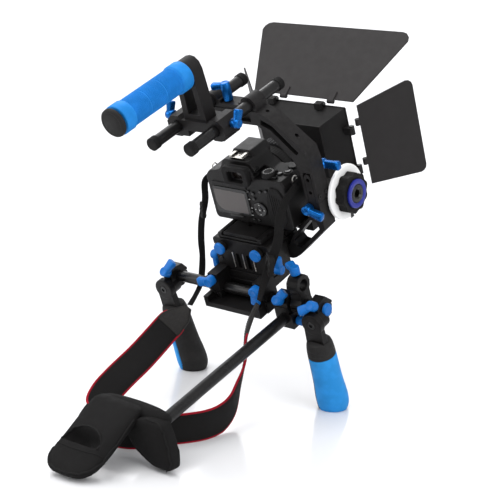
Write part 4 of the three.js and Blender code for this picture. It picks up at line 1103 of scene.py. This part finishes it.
# diopter wheel and flash-hump seams
put("dioptre_wheel", lathe([(0, 24.5), (3.6, 24.7), (4, 25.5), (4, 29), (0, 29)], "x", (47, 160), 24), "gloss_black", FR, "black_plastic")
put("hump_panel", prism("y", [(-15, 160), (15, 160), (19, 170), (13, 178), (-13, 178), (-19, 170)], 59, 92.6), "body", FR, "black_plastic", bevel=1.6, seg=3)
# accessory shoe
shoe = merge(box(-11, 11, 45, 60, 173.6, 174.5), box(-11, -9.2, 45, 60, 174.2, 176.9), box(9.2, 11, 45, 60, 174.2, 176.9), box(-11, -6.8, 45, 60, 176.1, 177.1), box(6.8, 11, 45, 60, 176.1, 177.1), box(-9.5, 9.5, 58.4, 60, 174.2, 175.4))
put("shoe_rails", shoe, "steel", FR, "black_metal", bevel=.25)
put("shoe_contacts", merge(lathe([(0, 174.4), (2.2, 174.4), (2.2, 174.9), (0, 174.9)], "z", (0, 53), 20), *[lathe([(0, 174.4), (.9, 174.4), (.9, 174.9), (0, 174.9)], "z", (dx, 49.4), 12) for dx in (-4.5, 4.5)]), "steel", FR, "black_metal")


def knurled(prof, axis, c, n, depth, lo, hi):
    v, f = lathe(prof, axis, c, n * 4)
    i = {"x": 0, "y": 1, "z": 2}[axis]
    o = [k for k in range(3) if k != i]
    rm = max(r for r, a in prof)
    out = []
    for p in v:
        p = list(p)
        dx, dy = p[o[0]] - c[0], p[o[1]] - c[1]
        r = math.hypot(dx, dy)
        if lo <= p[i] <= hi and r > rm - .9:
            k = 1 - depth / r * (.5 - .5 * math.cos(n * math.atan2(dy, dx)))
            p[o[0]], p[o[1]] = c[0] + dx * k, c[1] + dy * k
        out.append(tuple(p))
    return out, f


put("mode_wheel", knurled([(0, 145), (2.4, 145), (2.4, 150.2), (9.3, 150.2), (9.8, 150.8), (9.8, 156.2), (9.2, 156.9), (8.3, 157.2), (7.9, 156.9), (0, 157)], "z", (42, 52), 44, .5, 150.5, 156.5), "body", "dial", "black_plastic", repl="mode_dial", angle=40)
mk = []
for k in range(14):
    a = 2 * math.pi * k / 14
    mk.append(moved(box(5.6, 7.2, -.45, .45, 156.7, 157.2), Matrix.Translation((42, 52, 0)) @ Matrix.Rotation(a, 4, "Z")))
put("mode_wheel_marks", merge(*mk), "white_mark", "dial", "white_plastic")
put("shutter_key", lathe([(0, 150.1), (4, 150.1), (4, 152.6), (3.5, 153.2), (2.2, 153.0), (0, 152.8)], "z", (62, 66), 36), "gloss_black", "shutter", "black_plastic", repl="shutter_button")
put("shutter_collar", lathe([(4.5, 149), (7.4, 149), (7.2, 151), (6.2, 152), (4.9, 152), (4.5, 151.5)], "z", (62, 66), 36), "body", FR, "black_plastic")
put("top_dial", knurled([(0, 149), (6.5, 149), (6.5, 152.5), (6, 153), (0, 153)], "z", (60, 80), 30, .5, 149, 153), "body", FR, "black_plastic", angle=40)
put("power_switch", merge(box(50, 56, 47, 52, 150, 152.4), lathe([(0, 150), (3.6, 150), (3.4, 151.6), (0, 151.8)], "z", (53, 60), 24)), "gloss_black", FR, "black_plastic", bevel=.4)
# strap lugs
for sx, x0, x1 in ((-1, -61.5, -57.9), (1, 70.9, 74.5)):
    c = (x0 + x1) / 2
    path = [(c, 63 + 4.4 * math.cos(t), 144 + 4.4 * math.sin(t)) for t in [2 * math.pi * k / 20 for k in range(20)]]
    put("strap_lug_" + ("l" if sx < 0 else "r"), tube(path, .9, 8, closed=True), "steel", FR, "black_metal")
# side doors on the left of the camera
put("port_doors", merge(box(-58.9, -57, 50, 78, 88, 112), box(-58.9, -57, 50, 78, 114, 138)), "black_rubber", FR, "grey_rubber", bevel=.9)

# lens: knurled zoom ring, smooth collars, front bezel and glass
lens = [(0, 88), (33, 88), (33.2, 89), (33.2, 97), (32.4, 98), (31.6, 98.4), (31.6, 99)]
put("lens_tube", merge(lathe(lens + [(31.4, 100), (31.4, 114.6), (28.6, 115.2), (28.6, 132.8), (32.2, 133), (33.5, 134.4), (33.5, 149), (32.8, 150), (31.2, 150), (30.2, 149), (25, 144), (24, 142), (0, 141)], "y", (0, 123), 96)), "body", FR, "black_plastic", repl="lens_barrel", angle=35)
put("lens_zoom_ring", knurled([(31, 100), (32.4, 100.2), (32.9, 100.8), (32.9, 113.4), (32.4, 114), (31, 114.2)], "y", (0, 123), 60, .7, 100.6, 113.6), "black_rubber", FR, "grey_rubber", angle=40)
put("lens_front_glass", lathe([(0, 143.6), (12, 143.2), (24, 141.6), (24, 141), (0, 141)], "y", (0, 123), 64), "glass", FR, "black_plastic", angle=60)

# ================================================================ riser details
# three bright steel strips on the black riser face are painted highlights standing in for the lit chamfer edges of its
# grooves
put("riser_groove_painted_highlights", merge(*[prism("y", [(x - .75, 26), (x + .75, 26), (x + .75, 49), (x - .75, 49)], 11.8, 13.4) for x in (-17, 0, 17)]), "steel", FR, "black_metal")
for sx in (-1, 1):
    bolt("riser_bolt_" + ("l" if sx < 0 else "r"), (sx * 38, 12.2, 62 - 25), (0, -1, 0), 2.4, FR)
for x, z in ((102, 172), (99.7, 112)):
    pass
for k, (x, z) in enumerate(((103, 128), (103, 140))):
    bolt("arm_bolt_%d" % k, (109.5, 60 + k * 14, 126), (1, 0, 0), 2.6, FR)
bolt("gearbox_bolt_a", (100, 95.2, 98), (0, -1, 0), 1.6, "focus_unit")
bolt("gearbox_bolt_b", (100, 95.2, 115), (0, -1, 0), 1.6, "focus_unit")

# ================================================================ matte box details
# stepped light baffles inside the hood
bf = []
for k in range(7):
    y = 166 + k * 3.3
    t = (y - 162.8) / (190 - 162.8)
    w0, zb, zt = 47.6 + (69.8 - 47.6) * t, 82.4 + (70.2 - 82.4) * t, 163.6 + (177.8 - 163.6) * t
    for a in (box(-w0, w0, y, y + .9, zb, zb + 1.5), box(-w0, w0, y, y + .9, zt - 1.5, zt), box(-w0, -w0 + 1.5, y, y + .9, zb, zt), box(w0 - 1.5, w0, y, y + .9, zb, zt)):
        bf.append(a)
put("hood_baffles", merge(*bf), "hood", "matte_box", "black_plastic")
# rolled lip round the mouth
lip = [(-71.4, 189.6, 68.6), (71.4, 189.6, 68.6), (71.4, 189.6, 179.4), (-71.4, 189.6, 179.4)]
put("hood_lip", merge(*[tube([lip[i], lip[(i + 1) % 4]], 1.3, 8) for i in range(4)]), "hood", "matte_box", "black_plastic")
# flag hinges: ribbed spring barrels on the hood
for nm, parts in (("top", [("x", c, 189.6 + 4, 184) for c in (-44 + 14, 34 + 14)]),):
    pass
for k, x in enumerate((-44, 34)):
    rb = [(0, x - 6.5), (2.6, x - 6.5)]
    for i in range(8):
        a = x - 6.3 + i * 1.55
        rb += [(3.5, a), (3.5, a + .8), (2.9, a + 1.0), (2.9, a + 1.4)]
    rb += [(2.6, x + 6.5), (0, x + 6.5)]
    put("top_flag_spring_%d" % k, lathe(rb, "x", (188.2, 182.4), 24), "gloss_black", "matte_box", "black_plastic")
for s, nm in ((-1, "l"), (1, "r")):
    for k, z in enumerate((92, 150)):
        rb = [(0, z - 6.5), (2.6, z - 6.5)]
        for i in range(8):
            a = z - 6.3 + i * 1.55
            rb += [(3.5, a), (3.5, a + .8), (2.9, a + 1.0), (2.9, a + 1.4)]
        rb += [(2.6, z + 6.5), (0, z + 6.5)]
        put("side_spring_%s%d" % (nm, k), lathe(rb, "z", (s * 79, 186.6), 24), "gloss_black", "matte_box", "black_plastic")


# ================================================================ shoulder pad
def inflate(name, part, mat, slot, voxel=.004, pressure=4., cap=.006, shrink=.0025, body="shoulder_arm", levels=1, cut=None):
    """sewn padded lobe: the closed form is remeshed, blown up slightly as cloth, capped and smoothed"""
    me = bpy.data.meshes.new(name)
    me.from_pydata([tuple(REST @ Vector(p)) for p in part[0]], [], part[1])
    bm = bmesh.new()
    bm.from_mesh(me)
    bmesh.ops.recalc_face_normals(bm, faces=bm.faces)
    bm.to_mesh(me)
    bm.free()
    ob = bpy.data.objects.new(name, me)
    bpy.context.scene.collection.objects.link(ob)
    tool = None
    if cut is not None:
        tm = bpy.data.meshes.new(name + "_cutter")
        tm.from_pydata([tuple(REST @ Vector(p)) for p in cut[0]], [], cut[1])
        bm = bmesh.new()
        bm.from_mesh(tm)
        bmesh.ops.recalc_face_normals(bm, faces=bm.faces)
        bm.to_mesh(tm)
        bm.free()
        tool = bpy.data.objects.new(name + "_cutter", tm)
        bpy.context.scene.collection.objects.link(tool)
        k = ob.modifiers.new("slot", "BOOLEAN")
        k.operation = "DIFFERENCE"
        k.solver = "EXACT"
        k.object = tool
    r = ob.modifiers.new("voxel", "REMESH")
    r.mode = "VOXEL"
    r.voxel_size = voxel
    s = ob.modifiers.new("round", "SMOOTH")
    s.factor = .5
    s.iterations = 3
    dg = bpy.context.evaluated_depsgraph_get()
    new = bpy.data.meshes.new_from_object(ob.evaluated_get(dg))
    ob.modifiers.clear()
    ob.data = new
    if tool is not None:
        bpy.data.objects.remove(tool, do_unlink=True)
    rest = [v.co.copy() for v in new.vertices]
    nrm = [v.normal.copy() for v in new.vertices]
    for v, q in zip(new.vertices, nrm):
        v.co = v.co - q * shrink
    rest = [v.co.copy() for v in new.vertices]
    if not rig.quick():
        c = ob.modifiers.new("cloth", "CLOTH")
        st = c.settings
        st.quality = 6
        st.mass = .25
        st.tension_stiffness = 18
        st.compression_stiffness = 18
        st.bending_stiffness = 2.
        st.use_pressure = True
        st.uniform_pressure_force = pressure
        st.effector_weights.gravity = 0
        c.collision_settings.use_collision = False
        c.point_cache.frame_start, c.point_cache.frame_end = 1, 22
        sc = bpy.context.scene
        for fr in range(1, 19):
            sc.frame_set(fr)
        dg = bpy.context.evaluated_depsgraph_get()
        ev = ob.evaluated_get(dg)
        got = [v.co.copy() for v in ev.data.vertices]
        ob.modifiers.clear()
        sc.frame_set(1)
        for v, a, b in zip(new.vertices, rest, got):
            d = b - a
            if d.length > cap:
                d = d * (cap / d.length)
            v.co = a + d
    for v in new.vertices:
        if v.co.z < .0006:
            v.co.z = .0006
    new.materials.clear()
    new.materials.append(M[mat])
    new.polygons.foreach_set("use_smooth", [True] * len(new.polygons))
    sm = ob.modifiers.new("soft", "SMOOTH")
    sm.factor = .4
    sm.iterations = 2
    sb = ob.modifiers.new("fine", "SUBSURF")
    sb.levels = sb.render_levels = levels
    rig.ride(ob, body)
    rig.slot(ob, slot)
    return ob


def rear_lobe():
    """tongue-shaped cushion: stations from the roll down to the rounded tip, each a soft-cornered section"""
    rings = []
    nrm, tan = Vector((0, -.527, .85)), Vector((0, -.85, -.527))
    for y, t, w in ((-246, 8, 38), (-252, 10.5, 40), (-262, 11, 41), (-280, 11, 41), (-300, 11, 41), (-318, 10.6, 41), (-332, 10, 40.5), (-340, 9.4, 38.5), (-347, 8.6, 34.5), (-352, 7.6, 29), (-355.5, 6.2, 21), (-357, 4, 12)):
        top = -70 + min(0, (y + 262)) * .62
        c = Vector((20.5, y, top)) - nrm * t
        ring = []
        for i in range(36):
            a = 2 * math.pi * i / 36
            ca, sa = math.cos(a), math.sin(a)
            q = c + Vector((1, 0, 0)) * (w * math.copysign(abs(ca) ** .34, ca)) + nrm * (t * math.copysign(abs(sa) ** .5, sa))
            ring.append((q.x, q.y, max(q.z, -139.2)))
        rings.append(ring)
    return loft(rings)


mouth = [(-13, -318), (-12, -311.5), (-6, -306.8), (3, -303.8), (16, -302.8), (30, -304), (40, -307), (46, -311.5), (48, -317), (47.5, -318)]
foot = [(13 + (x - 16) * .5, -303.5 + (y + 309) * .16) for x, y in mouth]
slot_cut = loft([[(x, y, z) for x, y in q] for q, z in ((foot, -150), (foot, -122), (mouth, -105), (mouth, -60))])
pad_rear = inflate("pad_rear_lobe", rear_lobe(), "nylon", "black_nylon", voxel=.0032, cap=.004, cut=slot_cut)
pad_roll = inflate("pad_roll", lathe([(0, -19), (7, -18.6), (10, -16), (12.6, -8), (14, 6), (14.8, 22), (14.8, 44), (14, 62), (12.6, 78), (10.5, 88), (7.5, 92.5), (0, 93.5)], "x", (-247, -84), 28), "nylon", "black_nylon", cap=.003, shrink=.001)
fl_pts = [(64, -76), (96, -77), (104, -88), (111, -105), (115.5, -122), (115.5, -132), (111, -137.6), (102, -139.2), (86, -138), (71, -133.5), (58, -126.5), (47.5, -117), (40, -106), (38, -97), (43, -89)]
for _ in range(2):
    fl_pts = [(a[0] + (b[0] - a[0]) * t, a[1] + (b[1] - a[1]) * t) for a, b in zip(fl_pts, fl_pts[1:] + fl_pts[:1]) for t in (.25, .75)]
pad_front = inflate("pad_front_lobe", prism("y", fl_pts, -271, -247), "nylon", "black_nylon", cap=.005)
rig.replaces(pad_rear, "shoulder_pad")
for o in (pad_rear, pad_roll, pad_front):
    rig.padded(o, fill=.55)


def seam(name, ob, pts, toward, lift=.0, rad=.8, mat="binding"):
    """cord or stitched seam laid on a cushion: points are dropped onto its surface"""
    from mathutils.bvhtree import BVHTree
    tree = BVHTree.FromPolygons([v.co.copy() for v in ob.data.vertices], [tuple(q.vertices) for q in ob.data.polygons])
    d = Vector(toward).normalized()
    inv = REST.inverted()
    path = []
    for q in pts:
        o = REST @ Vector(q)
        hit, n, _, _ = tree.ray_cast(o - d * .06, d, .12)
        if hit is not None:
            path.append(tuple(inv @ (hit + n * (lift / 1000))))
    if len(path) > 2:
        return put(name, tube(path, rad, 6), mat, "shoulder_arm", "black_nylon", space=REST, angle=70)


def dense_path(pts, closed=True, step=3.):
    out = []
    m = len(pts)
    for i in range(m if closed else m - 1):
        a, b = Vector(pts[i]), Vector(pts[(i + 1) % m])
        k = max(1, round((b - a).length / step))
        out += [tuple(a.lerp(b, t / k)) for t in range(k)]
    if not closed:
        out.append(tuple(pts[-1]))
    else:
        out.append(out[0])
    return out


# seams: a bound edge round the rear cushion, a line below the slot, the lip of the slot and the edge of the front cushion
rim = [(-17, -272, -80), (-17.5, -300, -96), (-17, -328, -112), (-13, -341, -120), (-4, -349, -125), (10, -352.5, -127), (32, -352.5, -127), (46, -349, -125), (55, -341, -120), (58.5, -328, -112), (58.8, -300, -96), (58.5, -272, -80)]
seam("pad_rim_seam", pad_rear, dense_path(rim, False), (0, .5, -1), .3, 1.1)
seam("pad_cross_seam", pad_rear, dense_path([(-15, -325, -110), (10, -326.5, -111), (35, -326, -111), (57, -323, -109)], False), (0, .5, -1), .1, .7)
seam("pad_slot_lip", pad_rear, dense_path([(-12.5, -320, -106), (-11.5, -311.5, -101), (-4.5, -304.5, -97), (5.5, -300.8, -94), (16, -299.4, -93), (27.5, -300.8, -94), (37.5, -304.5, -97), (44.5, -310.5, -100), (47, -320, -106)], False), (0, .5, -1), .3, 1.2)
edge = [(66, -262, -79.5), (94, -262, -80.5), (101, -262, -90), (107.5, -262, -106), (111.8, -262, -124), (110.5, -262, -131), (105, -262, -135)]
seam("pad_front_seam", pad_front, dense_path([(x, -262, z) for x, _, z in edge], False), (0, 1, 0), .2, .9)
seam("pad_front_crease", pad_front, dense_path([(x, -262, z) for x, z in ((44, -97), (41.5, -112), (43, -124), (49, -132), (60, -135.5))], False), (0, 1, 0), .1, .6)

put("shoulder_tube", moved(lathe([(0, -272), (6.8, -272), (7.5, -271.3), (7.5, 21.4), (7, 22), (5.8, 22), (5.6, 21.6), (5.6, 16), (0, 16)], "y", n=48), Matrix.Translation((71, 0, -19.5)) @ Matrix.Rotation(math.radians(-2.9), 4, "X")), "rod", "shoulder_arm", "black_metal", repl="shoulder_rod")

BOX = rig.bounds()
json.dump({"cad": [list(CAD_BOX[0]), list(CAD_BOX[1])], "visual": [list(BOX[0]), list(BOX[1])]}, open("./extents.json", "w"))
